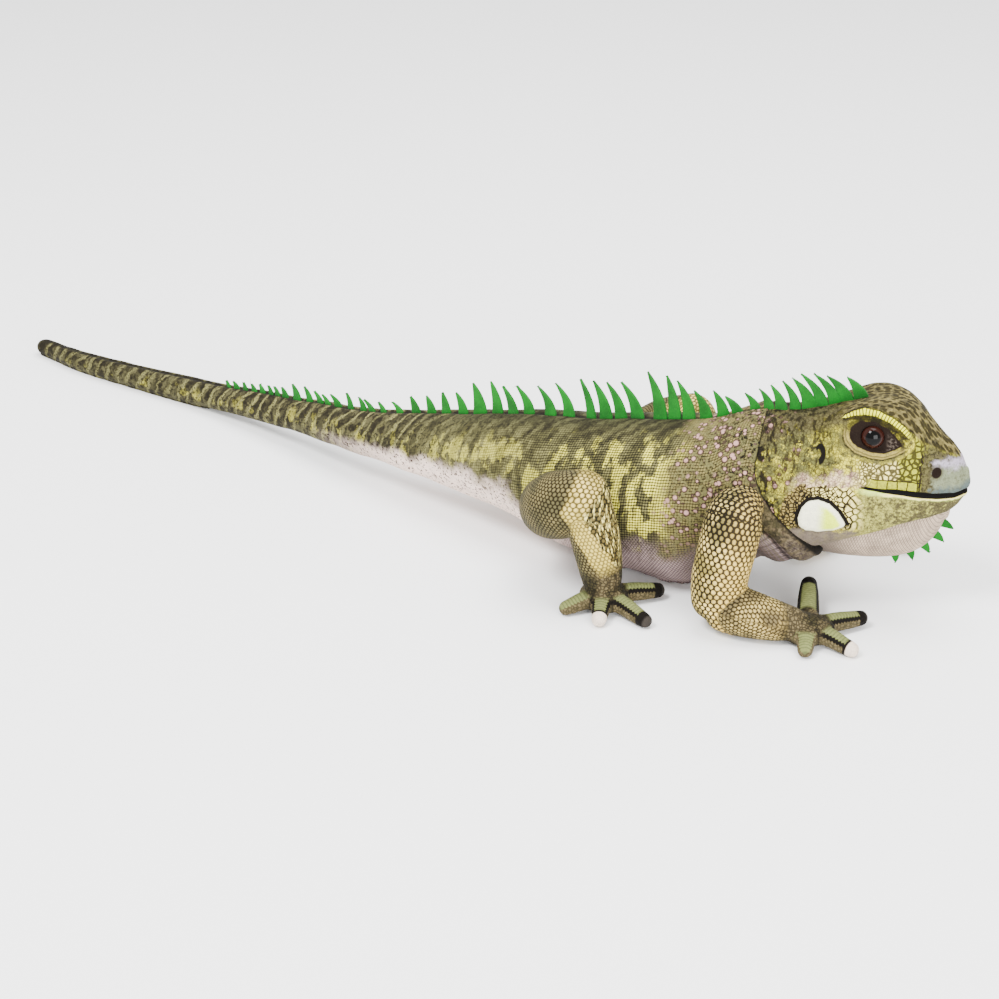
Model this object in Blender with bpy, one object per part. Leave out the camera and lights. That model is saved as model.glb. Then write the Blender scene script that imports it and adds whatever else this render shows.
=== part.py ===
"""A stuffed toy iguana that crouches with its belly on the floor and its head turned a little to its left.

The origin is the middle of the belly's flat, on the floor. +X runs towards the head, +Y to the
animal's left and +Z up. Sizes are in millimetres, and become metres where a mesh is made.
Every soft piece is one closed loft: a grid bent round by a function of its rows and columns.
The lofts are then parted by planes, or cut by a slightly grown copy of their neighbour, so that
the pieces meet with a gap of GAP and never overlap.
"""

import math

import bmesh
import bpy
from mathutils import Matrix, Vector

MM = 0.001
GAP = 0.3
FLOOR = 0.0
# Whatever of the torso hangs lower than this lies pressed flat on the floor.
PRESSED = 2.0

# Torso: x, sideways y, height of the middle, half height, half width.
TORSO = (
    (104, 14, 94, 36, 30),
    (80, 4, 84, 50, 42),
    (50, 0, 71, 57, 50),
    (20, 0, 58, 61, 56),
    (-10, 0, 55, 57, 58),
    (-40, 0, 52, 53.5, 56),
    (-75, 0, 50, 48, 50),
    (-120, 0, 52, 39, 40),
    (-185, 6, 46, 29, 30),
    (-240, 12, 39, 21.5, 22),
    (-290, 20, 33, 17.2, 17.5),
    (-340, 32, 27, 14.4, 14.6),
    (-392, 43, 20.5, 12.6, 12.8),
    (-450, 53, 13.6, 11.2, 11.4),
    (-500, 58, 10.4, 10.7, 10.9),
    (-560, 60, 9.8, 10.0, 10.2),
    (-610, 64, 9.6, 9.6, 9.8),
    (-655, 74, 9.2, 9.2, 9.4),
)
TORSO_ROWS = 38
TORSO_COLUMNS = 18
# The neck's rear cut leans: a point on it and its normal.
NECK_CUT = (41.8, 0, 70)
NECK_LEAN = (1, 0, 0.3)
TAIL_CUTS = (-133.8, -234.9, -344.9, -480)

# The head has its own frame: t runs forward from the top of the neck, turned by HEAD_TURN.
HEAD_ROOT = (75, 2)
HEAD_TURN = math.radians(17)
# Behind HEAD_STRAIGHT the head's middle line bends back into the body's.
HEAD_STRAIGHT = 15
HEAD_BEND = 0.0036
# t, crown z, brow half width and z, cheek half width and z, jaw half width and z, underside z.
HEAD = (
    (-46, 126, 24, 122, 44, 90, 34, 56, 44),
    (-20, 133, 25, 127, 43, 92, 34, 53, 45),
    (0, 136, 24, 130, 41, 92, 33, 51, 46),
    (20, 139, 23, 133, 38.5, 91, 32, 51, 47),
    (36, 143.5, 23, 138, 36, 93, 31, 55, 50),
    (50, 148.5, 24.5, 145.5, 33.5, 97, 29.5, 60, 55),
    (62, 152.5, 25.5, 149.5, 31, 101, 27.5, 64, 60),
    (75, 155, 24.5, 150, 28.5, 101, 24.5, 68, 64),
    (86, 154, 22, 145.5, 25.5, 99, 21.5, 71.5, 68),
    (95, 149, 18.5, 138, 23, 97.5, 19, 73.5, 70.5),
    (103, 140, 14.5, 128, 20.5, 96.5, 16.5, 75.5, 72.5),
    (111, 131, 12.5, 122, 17.5, 96, 13.5, 78, 75),
    (118, 124.5, 10, 116, 14, 95.5, 10.5, 80.5, 78),
    (124, 117, 7, 110, 9.5, 96, 7, 85, 82.5),
    (127.5, 109, 3.5, 105, 5, 97.5, 3.5, 90, 88.5),
)
HEAD_ROWS = 24
HEAD_COLUMNS = 22
# The crease between head and neck slants: t on it is CREASE_T at height CREASE_Z.
CREASE_T = -19.5
CREASE_Z = 118
CREASE_SLANT = 0.648
# Throat pouch under the jaw: t, top z, bottom z, half width.
THROAT = (
    (18, 62, 44, 22),
    (34, 64, 37, 24),
    (52, 68, 35.5, 22.5),
    (70, 72, 36, 20),
    (86, 75, 38.5, 17),
    (98, 78, 43.5, 13.5),
    (107, 80, 51, 10),
    (113, 81, 60, 7),
    (116.5, 81, 69, 4),
)
THROAT_ROWS = 14
THROAT_COLUMNS = 16
CHIN_SPIKES = 5
CHIN_SPIKE_HEIGHT = 8
CHIN_SPIKE_BASE = 3.4
CHIN_FROM = 86
CHIN_TO = 115.5

EYE_T = 66.6
EYE_SIDE = 24.4
EYE_Z = 134.1
EYE_RADIUS = 8.4

# Limbs of the right side: x, y, z and radius down the middle of each sleeve. The left ones are
# their mirror images, except that the left forearm lies out to the side.
UPPER_ARM = (
    (76, -44, 84, 14),
    (75, -54, 80, 19),
    (74, -61, 62, 19.5),
    (71, -65, 38, 19),
    (71, -66, 22, 18.5),
)
FOREARM = (
    (76, -67, 17, 16),
    (90, -65, 16.5, 16.5),
    (106, -61, 14.5, 14.5),
    (118, -55, 12, 12),
)
LEFT_FOREARM = (
    (74, 71, 17, 16),
    (78, 86, 16.5, 16.5),
    (82, 102, 14.5, 14.5),
    (85, 114, 12, 12),
)
THIGH = (
    (-66, -40, 53, 21),
    (-62, -62, 56, 22),
    (-45, -77, 65, 22),
    (-25, -80, 78, 20),
)
SHIN = (
    (-22, -80, 70, 17),
    (-16, -80, 50, 17),
    (-12, -79, 28, 15),
    (-10, -79, 14, 12.5),
)
LIMB_ROWS = 6
LIMB_COLUMNS = 12

# The planes that part wrist and ankle from hand and foot: a point and the way down the limb.
WRIST = ((112, -58, 12), (0.9, 0.43, 0))
LEFT_WRIST = ((83, 109, 12), (0.3, 0.95, 0))
ANKLE = ((-11, -79, 20), (0, 0, -1))

# Hands and feet: x and y of the palm's middle, the way it points in degrees, and its toes as
# (angle from there, distance to the tip, rise of the tip off the floor).
RIGHT_HAND = (129, -49, 24)
LEFT_HAND = (89, 127, 68)
RIGHT_FOOT = (-9, -79, -37)
FINGERS = ((-88, 38, 0), (-33, 41, 0), (33, 47, 2), (90, 54, 9))
TOES = ((-86, 34, 0), (-30, 34, 0), (20, 45, 0), (85, 44, 2))
PALM = (19, 17, 9.5)
PALM_Z = 8
TOE_ROOT = 7.2
TOE_TIP = 5.2

# Where the crest passes from head to neck and from neck to trunk, as x.
CREASE_TOP = 47.9
NECK_TOP = 26.1

# Felt spines: thickness and depth of root, the first and the last place along x, and how many.
FELT = 3.0
SPINE_ROOT = 1.5
SPINE_BASE = 6.2
CREST_FIRST = 128
CREST_LAST = -425
CREST_COUNT = 48
# Spines stand this share closer together at both ends of the crest than on average.
CREST_CROWD = 0.25
# Height of the spines over x: the nape's, a dip at the crease, the shoulders' and the tail's.
CREST_HEIGHTS = (
    (-430, 2.5),
    (-350, 5),
    (-240, 11),
    (-180, 14),
    (-150, 19),
    (-70, 24),
    (-12, 28),
    (14, 23),
    (32, 15),
    (50, 12),
    (72, 20),
    (100, 26),
    (116, 20),
    (128, 13),
)

COLOURS = {
    "hide": (0.42, 0.38, 0.20, 1),
    "scales": (0.55, 0.48, 0.28, 1),
    "pale": (0.56, 0.50, 0.48, 1),
    "felt": (0.12, 0.48, 0.13, 1),
    "eye": (0.03, 0.012, 0.01, 1),
}
ROUGHNESS = {"hide": 0.85, "scales": 0.85, "pale": 0.9, "felt": 0.95, "eye": 0.08}


def clear_scene():
    for obj in list(bpy.data.objects):
        bpy.data.objects.remove(obj)


def blend(rows, at):
    """The row of a table at a value of its first column, on a smooth curve through the rows."""
    rows = sorted(rows)
    at = min(max(at, rows[0][0]), rows[-1][0])
    span = max(i for i in range(len(rows) - 1) if rows[i][0] <= at)
    before, low, high, after = (
        rows[min(max(span + k, 0), len(rows) - 1)] for k in (-1, 0, 1, 2)
    )
    width = high[0] - low[0]
    u = (at - low[0]) / width
    found = []
    for k in range(1, len(low)):
        rise_low = (high[k] - before[k]) / max(high[0] - before[0], 1e-6) * width
        rise_high = (after[k] - low[k]) / max(after[0] - low[0], 1e-6) * width
        found.append(
            (2 * u**3 - 3 * u**2 + 1) * low[k]
            + (u**3 - 2 * u**2 + u) * rise_low
            + (3 * u**2 - 2 * u**3) * high[k]
            + (u**3 - u**2) * rise_high
        )
    return found


def material(name):
    found = bpy.data.materials.get(name)
    if found is None:
        found = bpy.data.materials.new(name)
        found.use_nodes = True
        shader = found.node_tree.nodes["Principled BSDF"]
        shader.inputs["Base Color"].default_value = COLOURS[name]
        shader.inputs["Roughness"].default_value = ROUGHNESS[name]
        found.diffuse_color = COLOURS[name]
    return found


def add_object(name, mesh, finish, home):
    obj = bpy.data.objects.new(name, mesh)
    obj.data.materials.append(material(finish))
    home.objects.link(obj)
    return obj


def bent_grid(rows, columns, place):
    """A closed bmesh: a grid whose rows run along a piece and whose columns run round it.

    place(u, v) is the point in millimetres for u and v from 0 to 1; the first and the last row
    are one point each.
    """
    bm = bmesh.new()
    bmesh.ops.create_grid(bm, x_segments=rows, y_segments=columns, size=1)
    for vert in bm.verts:
        u, v = (vert.co.x + 1) / 2, (vert.co.y + 1) / 2
        vert.co = Vector(place(u, v)) * MM
    bmesh.ops.remove_doubles(bm, verts=bm.verts, dist=1e-6)
    bmesh.ops.recalc_face_normals(bm, faces=bm.faces)
    return bm


def mesh_of(bm, name):
    mesh = bpy.data.meshes.new(name)
    bm.to_mesh(mesh)
    bm.free()
    mesh.shade_smooth()
    return mesh


def rounded_ends(u, rows, share=0.5):
    """Where row u lies along a piece, from 0 to 1, and the scale of its section there.

    The first and last two rows close to a dome; share is the section's scale one row in.
    """
    step = 1 / rows
    edge = min(u, 1 - u) / step
    if edge < 0.5:
        return (0.0 if u < 0.5 else 1.0), 0.0
    if edge < 1.5:
        return (0.0 if u < 0.5 else 1.0), share
    inner = (u - step) / (1 - 2 * step)
    return inner, 1.0


def torso_point(u, v, grow=0.0):
    along, size = rounded_ends(u, TORSO_ROWS, 0.55)
    first, last = TORSO[0][0], TORSO[-1][0]
    x = first + (last - first) * along**0.9
    y, middle, half_height, half_width = blend(TORSO, x)
    if size < 1:
        ahead = 1 if along < 0.5 else -1
        x += ahead * half_height * (0.75 if size == 0 else 0.6)
    angle = 2 * math.pi * v
    side = size * (half_width + grow) * math.sin(angle)
    rise = size * (half_height + grow) * math.cos(angle)
    z = middle + rise
    if z < FLOOR + PRESSED:
        z = FLOOR - (1 if grow else 0)
    return x, y + side, z


def head_world(t, side, z):
    forward = Vector((math.cos(HEAD_TURN), math.sin(HEAD_TURN), 0))
    left = Vector((-math.sin(HEAD_TURN), math.cos(HEAD_TURN), 0))
    side += HEAD_BEND * max(HEAD_STRAIGHT - t, 0) ** 2
    return Vector((*HEAD_ROOT, 0)) + forward * t + left * side + Vector((0, 0, z))


def head_section(t, v):
    """A point of the head's outline across t: a smooth loop through crown, brow, cheek and jaw."""
    crown, brow_w, brow_z, cheek_w, cheek_z, jaw_w, jaw_z, under = blend(HEAD, t)
    half = ((0, crown), (brow_w, brow_z), (cheek_w, cheek_z), (jaw_w, jaw_z), (0, under))
    loop = half + tuple((-side, z) for side, z in half[-2:0:-1])
    place = v * len(loop)
    span = int(place) % len(loop)
    u = place - int(place)
    p = [Vector(loop[(span + k) % len(loop)]) for k in (-1, 0, 1, 2)]
    return (
        p[1] * 2
        + (p[2] - p[0]) * u
        + (p[0] * 2 - p[1] * 5 + p[2] * 4 - p[3]) * u**2
        + (p[1] * 3 - p[0] - p[2] * 3 + p[3]) * u**3
    ) / 2


def head_point(u, v, grow=0.0):
    along, size = rounded_ends(u, HEAD_ROWS, 0.62)
    first, last = HEAD[0][0], HEAD[-1][0]
    t = first + (last - first) * (1 - (1 - along) ** 1.25)
    side, z = head_section(t, v)
    middle = (blend(HEAD, t)[0] + blend(HEAD, t)[7]) / 2
    reach = math.hypot(side, z - middle)
    scale = size * (1 + grow / max(reach, 1))
    if size < 1:
        t += (1 if along > 0.5 else -1) * (1.6 if size == 0 else 1.1)
    return head_world(t, side * scale, middle + (z - middle) * scale)


def throat_point(u, v):
    along, size = rounded_ends(u, THROAT_ROWS, 0.6)
    t = THROAT[0][0] + (THROAT[-1][0] - THROAT[0][0]) * along
    top, bottom, half_width = blend(THROAT, t)
    if size < 1:
        t += (1 if along > 0.5 else -1) * (1.8 if size == 0 else 1.2)
    angle = 2 * math.pi * v
    low = (1 - math.cos(angle)) / 2
    side = half_width * (1 - 0.35 * low**2) * math.sin(angle)
    rise = (top - bottom) / 2 * math.cos(angle)
    return head_world(t, side * size, (top + bottom) / 2 + rise * size)


def limb_frames(route, rows):
    """Evenly spread places down a limb: point, across and up vectors, and radius."""
    table = [(i, *row) for i, row in enumerate(route)]
    spots = [blend(table, (len(route) - 1) * i / rows) for i in range(rows + 1)]
    frames = []
    across = None
    for i, spot in enumerate(spots):
        low, high = spots[max(i - 1, 0)], spots[min(i + 1, rows)]
        ahead = (Vector(high[:3]) - Vector(low[:3])).normalized()
        if across is None:
            across = ahead.cross(Vector((1, 0, 0)))
        across = (across - ahead * across.dot(ahead)).normalized()
        frames.append((Vector(spot[:3]), ahead, across, ahead.cross(across), spot[3]))
    return frames


def sleeve(route, grow=0.0, rows=LIMB_ROWS, columns=LIMB_COLUMNS, domes=3):
    """A tube along a route with a dome at each end, flat where it meets the floor."""
    frames = limb_frames(route, rows)

    def place(u, v):
        row = round(u * (rows + 2 * domes))
        index = min(max(row - domes, 0), rows)
        middle, ahead, across, up, radius = frames[index]
        radius += grow
        lean = 0.0
        if row < domes:
            lean = -(domes - row) / domes
        elif row > rows + domes:
            lean = (row - rows - domes) / domes
        turn = lean * math.pi / 2
        ring = radius * math.cos(turn)
        if abs(lean) == 1:
            ring = 0
        angle = 2 * math.pi * v
        point = middle + ahead * radius * 0.8 * math.sin(turn)
        point += (across * math.sin(angle) + up * math.cos(angle)) * ring
        point.z = max(point.z, FLOOR - (1 if grow else 0))
        return point

    return bent_grid(rows + 2 * domes, columns, place)


def kept_side(bm, point, normal):
    """Cuts a closed bmesh by a plane in millimetres, keeps the side its normal leaves and caps it."""
    result = bmesh.ops.bisect_plane(
        bm,
        geom=bm.verts[:] + bm.edges[:] + bm.faces[:],
        dist=1e-7,
        plane_co=Vector(point) * MM,
        plane_no=Vector(normal).normalized(),
        clear_outer=True,
    )
    rim = [item for item in result["geom_cut"] if isinstance(item, bmesh.types.BMEdge)]
    bmesh.ops.holes_fill(bm, edges=rim, sides=0)
    bmesh.ops.recalc_face_normals(bm, faces=bm.faces)
    return bm


def cut_by(obj, *cutters):
    for cutter in cutters:
        boolean = obj.modifiers.new("cut_by_" + cutter.name, "BOOLEAN")
        boolean.operation = "DIFFERENCE"
        boolean.solver = "EXACT"
        boolean.object = cutter


def crease(side):
    """A point on the head's crease and its normal towards the snout, moved by side along it."""
    along = Vector((1, CREASE_SLANT)).normalized()
    normal = head_world(along.x, 0, along.y) - head_world(0, 0, 0)
    return head_world(CREASE_T, 0, CREASE_Z) + normal * side, normal


def torso(grow=0.0):
    return bent_grid(TORSO_ROWS, TORSO_COLUMNS, lambda u, v: torso_point(u, v, grow))


def head(grow=0.0):
    return bent_grid(HEAD_ROWS, HEAD_COLUMNS, lambda u, v: head_point(u, v, grow))


def throat():
    return bent_grid(THROAT_ROWS, THROAT_COLUMNS, throat_point)


def crest_foot(x):
    """A point of the hide's middle line over x, on the back or on the nape of the head."""
    y, middle, half_height, _ = blend(TORSO, x)
    back = Vector((x, y, middle + half_height))
    t = (x - HEAD_ROOT[0]) / math.cos(HEAD_TURN)
    nape = head_world(t, 0, blend(HEAD, max(t, HEAD[0][0]))[0])
    share = min(max((x - 46) / 12, 0), 1)
    return back.lerp(nape, share)


def crest_place(index):
    """x of spine number index: wide apart over the back and closer towards the tip of the tail."""
    share = index / (CREST_COUNT - 1)
    share -= CREST_CROWD * math.sin(2 * math.pi * share) / (2 * math.pi)
    return CREST_FIRST + (CREST_LAST - CREST_FIRST) * share


def spine(foot, rear, rise, height, base):
    """One felt blade: a flat tooth from its root inside the hide to a tip that leans back."""
    side = rear.cross(rise).normalized()

    def place(u, v):
        level = min(max((u - 0.25) / 0.5, 0), 1)
        width = thick = 0
        if 0 < u < 1:
            width = max(base * (1 - level) ** 0.65, 0.6)
            thick = FELT / 2 * (1 - 0.6 * level)
        angle = 2 * math.pi * v
        back = width * math.cos(angle) + 0.55 * height * level**1.4
        up = -SPINE_ROOT + (height + SPINE_ROOT) * level
        return foot + rear * back + side * (thick * math.sin(angle)) + rise * up

    return bent_grid(4, 4, place)


def gathered(blades):
    whole = bmesh.new()
    for blade in blades:
        mesh = mesh_of(blade, "blade")
        whole.from_mesh(mesh)
        bpy.data.meshes.remove(mesh)
    return whole


def crest_spines(first, last):
    """The crest's spines from number first up to last."""
    blades = []
    for index in range(first, last):
        x = crest_place(index)
        rear = (crest_foot(x - 4) - crest_foot(x + 4)).normalized()
        rise = rear.cross(Vector((0, 0, 1))).cross(rear).normalized()
        base = min(SPINE_BASE, abs(crest_place(index + 1) - x) * 0.41)
        blades.append(spine(crest_foot(x), rear, rise, blend(CREST_HEIGHTS, x)[0], base))
    return gathered(blades)


def throat_edge(t):
    return head_world(t, 0, blend(THROAT, t)[1])


def chin_spikes():
    """Small felt triangles down the front edge of the throat pouch."""
    blades = []
    for index in range(CHIN_SPIKES):
        t = CHIN_FROM + (CHIN_TO - CHIN_FROM) * math.sin(1.3 * index / (CHIN_SPIKES - 1)) / math.sin(1.3)
        down = (throat_edge(t - 1) - throat_edge(min(t + 1, THROAT[-1][0]))).normalized()
        out = down.cross(head_world(0, 1, 0) - head_world(0, 0, 0)).normalized()
        blades.append(spine(throat_edge(t), down, out, CHIN_SPIKE_HEIGHT, CHIN_SPIKE_BASE))
    return gathered(blades)


def beyond(bm, plane, side, short=GAP / 2):
    """The part of a closed bmesh on one side of a plane, ending short of it."""
    point, normal = Vector(plane[0]), Vector(plane[1]).normalized()
    return kept_side(bm, point + normal * side * short, normal * -side)


def mirrored(rows):
    """Points, or points with a radius, of the right side turned over to the left."""
    return tuple((x, -y, *rest) for x, y, *rest in rows)


def mirror_toes(toes):
    return tuple((-angle, length, rise) for angle, length, rise in toes)


def palm(place):
    x, y, heading = place
    bm = bmesh.new()
    bmesh.ops.create_uvsphere(bm, u_segments=12, v_segments=6, radius=1)
    turn = Matrix.Rotation(math.radians(heading), 4, "Z")
    bmesh.ops.scale(bm, verts=bm.verts, vec=Vector(PALM) * MM)
    bmesh.ops.transform(bm, verts=bm.verts, matrix=Matrix.Translation(Vector((x, y, PALM_Z)) * MM) @ turn)
    for vert in bm.verts:
        vert.co.z = max(vert.co.z, FLOOR)
    return bm


def toe(place, angle, length, rise):
    """One toe from inside the palm to its tip, humped over its middle and resting on the floor."""
    x, y, heading = place
    way = math.radians(heading + angle)
    ahead = Vector((math.cos(way), math.sin(way), 0))
    start = Vector((x, y, 0))
    end = length - TOE_TIP * 0.8
    route = [
        (*(start + ahead * end * share).xy, z + rise * share**2, radius)
        for share, z, radius in (
            (0.15, 8.5, TOE_ROOT),
            (0.45, 8.5, TOE_ROOT),
            (0.75, 6.5, (TOE_ROOT + TOE_TIP) / 2),
            (1.0, TOE_TIP - 0.6, TOE_TIP),
        )
    ]
    return sleeve(route, rows=3, columns=8, domes=2)


def main():
    clear_scene()
    scene = bpy.context.scene
    parts = bpy.data.collections.new("toy_iguana")
    cutters = bpy.data.collections.new("cutters")
    scene.collection.children.link(parts)
    scene.collection.children.link(cutters)

    def cutter(name, bm, finish="hide"):
        obj = add_object(name, mesh_of(bm, name), finish, cutters)
        obj.hide_render = True
        obj.display_type = "WIRE"
        return obj

    def piece(name, bm, finish):
        return add_object(name, mesh_of(bm, name), finish, parts)

    def join(obj, *others):
        for other in others:
            boolean = obj.modifiers.new("join_" + other.name, "BOOLEAN")
            boolean.operation = "UNION"
            boolean.solver = "EXACT"
            boolean.object = other

    def crest(obj, ahead, behind):
        """Grows the spines whose feet lie between two values of x out of a piece."""
        inside = [i for i in range(CREST_COUNT) if behind < crest_place(i) < ahead]
        if inside:
            blades = crest_spines(inside[0], inside[-1] + 1)
            join(obj, cutter("spines_" + obj.name, blades, "felt"))

    grown_torso = cutter("grown_torso", torso(GAP))
    grown_head = cutter("grown_head", head(GAP))
    rear_of_crease, to_snout = crease(-GAP / 2)
    front_of_crease, _ = crease(GAP / 2)

    trunk = beyond(torso(), (NECK_CUT, NECK_LEAN), -1)
    trunk = kept_side(trunk, (TAIL_CUTS[0], 0, 0), (-1, 0, 0))
    trunk = piece("trunk", trunk, "hide")
    neck = beyond(torso(), (NECK_CUT, NECK_LEAN), 1)
    neck = kept_side(neck, rear_of_crease, to_snout)
    neck = piece("neck", neck, "hide")
    crest(trunk, NECK_TOP, TAIL_CUTS[0])
    crest(neck, CREASE_TOP, NECK_TOP)
    for i, start in enumerate(TAIL_CUTS):
        end = TAIL_CUTS[i + 1] if i + 1 < len(TAIL_CUTS) else -9999
        length = kept_side(torso(), (start - GAP, 0, 0), (1, 0, 0))
        length = kept_side(length, (end, 0, 0), (-1, 0, 0))
        crest(piece(f"tail_{i + 1}", length, "hide"), start, end)

    skull = piece("head", kept_side(head(), front_of_crease, -to_snout), "hide")
    for side, label in ((-1, "right"), (1, "left")):
        centre = head_world(EYE_T, side * EYE_SIDE, EYE_Z) * MM
        balls = []
        for radius in (EYE_RADIUS, EYE_RADIUS + GAP):
            bm = bmesh.new()
            bmesh.ops.create_uvsphere(bm, u_segments=14, v_segments=9, radius=radius * MM)
            bmesh.ops.translate(bm, verts=bm.verts, vec=centre)
            balls.append(bm)
        piece("eye_" + label, balls[0], "eye")
        cut_by(skull, cutter("socket_" + label, balls[1]))
    crest(skull, 9999, CREASE_TOP)

    pouch = piece("throat", kept_side(throat(), front_of_crease, -to_snout), "pale")
    cut_by(pouch, grown_head)
    join(pouch, cutter("chin_spikes", chin_spikes(), "felt"))

    left_foot = (RIGHT_FOOT[0], -RIGHT_FOOT[1], -RIGHT_FOOT[2])
    left_fingers, left_toes = mirror_toes(FINGERS), mirror_toes(TOES)
    left_limbs = mirrored(UPPER_ARM), mirrored(THIGH), mirrored(SHIN), mirrored(ANKLE)
    for names, upper, lower, joint, place, digits, beds in (
        (("upper_arm_right", "forearm_right", "hand_right"),
         UPPER_ARM, FOREARM, WRIST, RIGHT_HAND, FINGERS, (grown_torso, grown_head)),
        (("upper_arm_left", "forearm_left", "hand_left"),
         left_limbs[0], LEFT_FOREARM, LEFT_WRIST, LEFT_HAND, left_fingers, (grown_torso, grown_head)),
        (("thigh_right", "shin_right", "foot_right"),
         THIGH, SHIN, ANKLE, RIGHT_FOOT, TOES, (grown_torso,)),
        (("thigh_left", "shin_left", "foot_left"),
         left_limbs[1], left_limbs[2], left_limbs[3], left_foot, left_toes, (grown_torso,)),
    ):
        first, second, third = names
        cut_by(piece(first, sleeve(upper), "scales"), *beds)
        grown_first = cutter("grown_" + first, sleeve(upper, GAP))
        cut_by(piece(second, beyond(sleeve(lower), joint, -1), "scales"), grown_first)
        tip = piece(third, palm(place), "scales")
        join(tip, cutter("heel_" + third, beyond(sleeve(lower), joint, 1)))
        join(tip, *(cutter(f"{third}_{i}", toe(place, *d)) for i, d in enumerate(digits)))
        cut_by(tip, cutter("grown_" + second, beyond(sleeve(lower, GAP), joint, -1, -GAP / 2)))


if __name__ == "__main__":
    main()
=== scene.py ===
"""The looks of a stuffed toy iguana: printed short-pile skins, a felt crest and glossy eyes.

Laid out as an add-on and run as a script. Sizes are in millimetres until a mesh is made. +X runs
towards the head, +Y to the animal's left and +Z up, with the floor at zero. The head has a frame
of its own: t runs forward from the top of the neck, side to the left and z up.
"""

import functools
import math

import bmesh
import bpy
import numpy as np
from mathutils import Matrix, Vector, noise


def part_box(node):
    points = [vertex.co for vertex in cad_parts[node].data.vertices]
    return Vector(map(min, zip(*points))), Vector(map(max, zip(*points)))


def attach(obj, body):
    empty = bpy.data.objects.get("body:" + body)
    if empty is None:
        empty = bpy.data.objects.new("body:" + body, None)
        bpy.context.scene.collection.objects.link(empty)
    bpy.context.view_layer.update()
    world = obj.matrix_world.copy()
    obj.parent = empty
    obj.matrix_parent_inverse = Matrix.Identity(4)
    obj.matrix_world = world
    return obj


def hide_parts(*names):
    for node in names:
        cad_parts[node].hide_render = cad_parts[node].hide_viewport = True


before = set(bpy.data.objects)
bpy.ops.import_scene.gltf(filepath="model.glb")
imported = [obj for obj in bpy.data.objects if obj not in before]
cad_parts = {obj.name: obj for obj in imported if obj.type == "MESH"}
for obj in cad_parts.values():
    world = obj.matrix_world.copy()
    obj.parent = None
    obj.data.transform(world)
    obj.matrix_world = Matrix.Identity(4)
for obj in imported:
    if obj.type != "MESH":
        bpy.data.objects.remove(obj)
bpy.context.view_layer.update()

bl_info = {
    "name": "Toy iguana",
    "version": (1, 0, 0),
    "blender": (4, 5, 0),
    "location": "View3D > Sidebar > Toy iguana",
    "description": "Builds a stuffed toy iguana with printed plush skins, felt spines and safety eyes",
    "category": "Add Mesh",
}

# Millimetres in metres, and a metre in millimetres: a texture's scale is METRE / its size.
MM = 0.001
METRE = 1000
# Keeps a division from zero, and joins points that lie in one place.
TINY = 1e-6

# Torso: x, sideways y, height of the middle, half height, half width.
TORSO = (
    (104, 14, 94, 36, 30),
    (80, 4, 84, 50, 42),
    (50, 0, 71, 57, 50),
    (20, 0, 58, 61, 56),
    (-10, 0, 55, 57, 58),
    (-40, 0, 52, 53.5, 56),
    (-75, 0, 50, 48, 50),
    (-120, 0, 52, 39, 40),
    (-185, 6, 46, 29, 30),
    (-240, 12, 39, 21.5, 22),
    (-290, 20, 33, 17.2, 17.5),
    (-340, 32, 27, 14.4, 14.6),
    (-392, 43, 20.5, 12.6, 12.8),
    (-450, 53, 13.6, 11.2, 11.4),
    (-500, 58, 10.4, 10.7, 10.9),
    (-560, 60, 9.4, 9.2, 9.4),
    (-610, 64, 8.5, 8.2, 8.4),
    (-657, 74.5, 7.2, 6.9, 7.1),
)
# Cloth lower than PRESSED lies flat on the floor, just clear of it.
PRESSED = 2.0
FLOOR_GAP = 0.35

# The head's frame: x and y of its zero, its turn to the left, and how the neck curves behind
# HEAD_STRAIGHT to meet the body. HEAD_MIDDLE is the height of the neck's middle.
HEAD_ROOT = (75, 2)
HEAD_TURN = math.radians(17)
HEAD_STRAIGHT = 15
HEAD_BEND = 0.0036
HEAD_MIDDLE = 92
# t, crown z, brow half width and z, cheek half width and z, jaw half width and z, underside z.
HEAD = (
    (-46, 126, 24, 122, 44, 90, 34, 56, 44),
    (-20, 133, 25, 127, 43, 92, 34, 53, 45),
    (0, 136, 24, 130, 41, 92, 33, 51, 46),
    (20, 139, 23, 133, 38.5, 91, 32, 51, 47),
    (36, 143.5, 23, 138, 36, 93, 31, 55, 50),
    (50, 148.5, 24.5, 145.5, 33.5, 97, 29.5, 60, 55),
    (62, 152.5, 25.5, 149.5, 31, 101, 27.5, 64, 60),
    (75, 155, 24.5, 150, 28.5, 101, 24.5, 68, 64),
    (86, 154, 22, 145.5, 25.5, 99, 21.5, 71.5, 68),
    (95, 149, 18.5, 138, 23, 97.5, 19, 73.5, 70.5),
    (103, 140, 14.5, 128, 20.5, 96.5, 16.5, 75.5, 72.5),
    (111, 131, 12.5, 122, 17.5, 96, 13.5, 78, 75),
    (118, 124.5, 10, 116, 14, 95.5, 10.5, 80.5, 78),
    (124, 117, 7, 110, 9.5, 96, 7, 85, 82.5),
    (127.5, 109, 3.5, 105, 5, 97.5, 3.5, 90, 88.5),
)
# The crease between neck and head: height and t.
CREASE = ((38, 31), (50, 27), (63, 18), (80, 4), (103, -8.5), (120, -8), (140, -6.5))
# Throat pouch under the jaw: t, top z, bottom z, half width.
THROAT = (
    (6, 66, 38, 23),
    (20, 62, 37.5, 23.5),
    (34, 64, 37, 24),
    (52, 68, 35.5, 22.5),
    (70, 72, 36, 20),
    (86, 75, 38.5, 17),
    (98, 78, 43.5, 13.5),
    (107, 80, 51, 10),
    (113, 81, 60, 7),
    (116.5, 81, 69, 4),
)

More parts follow.
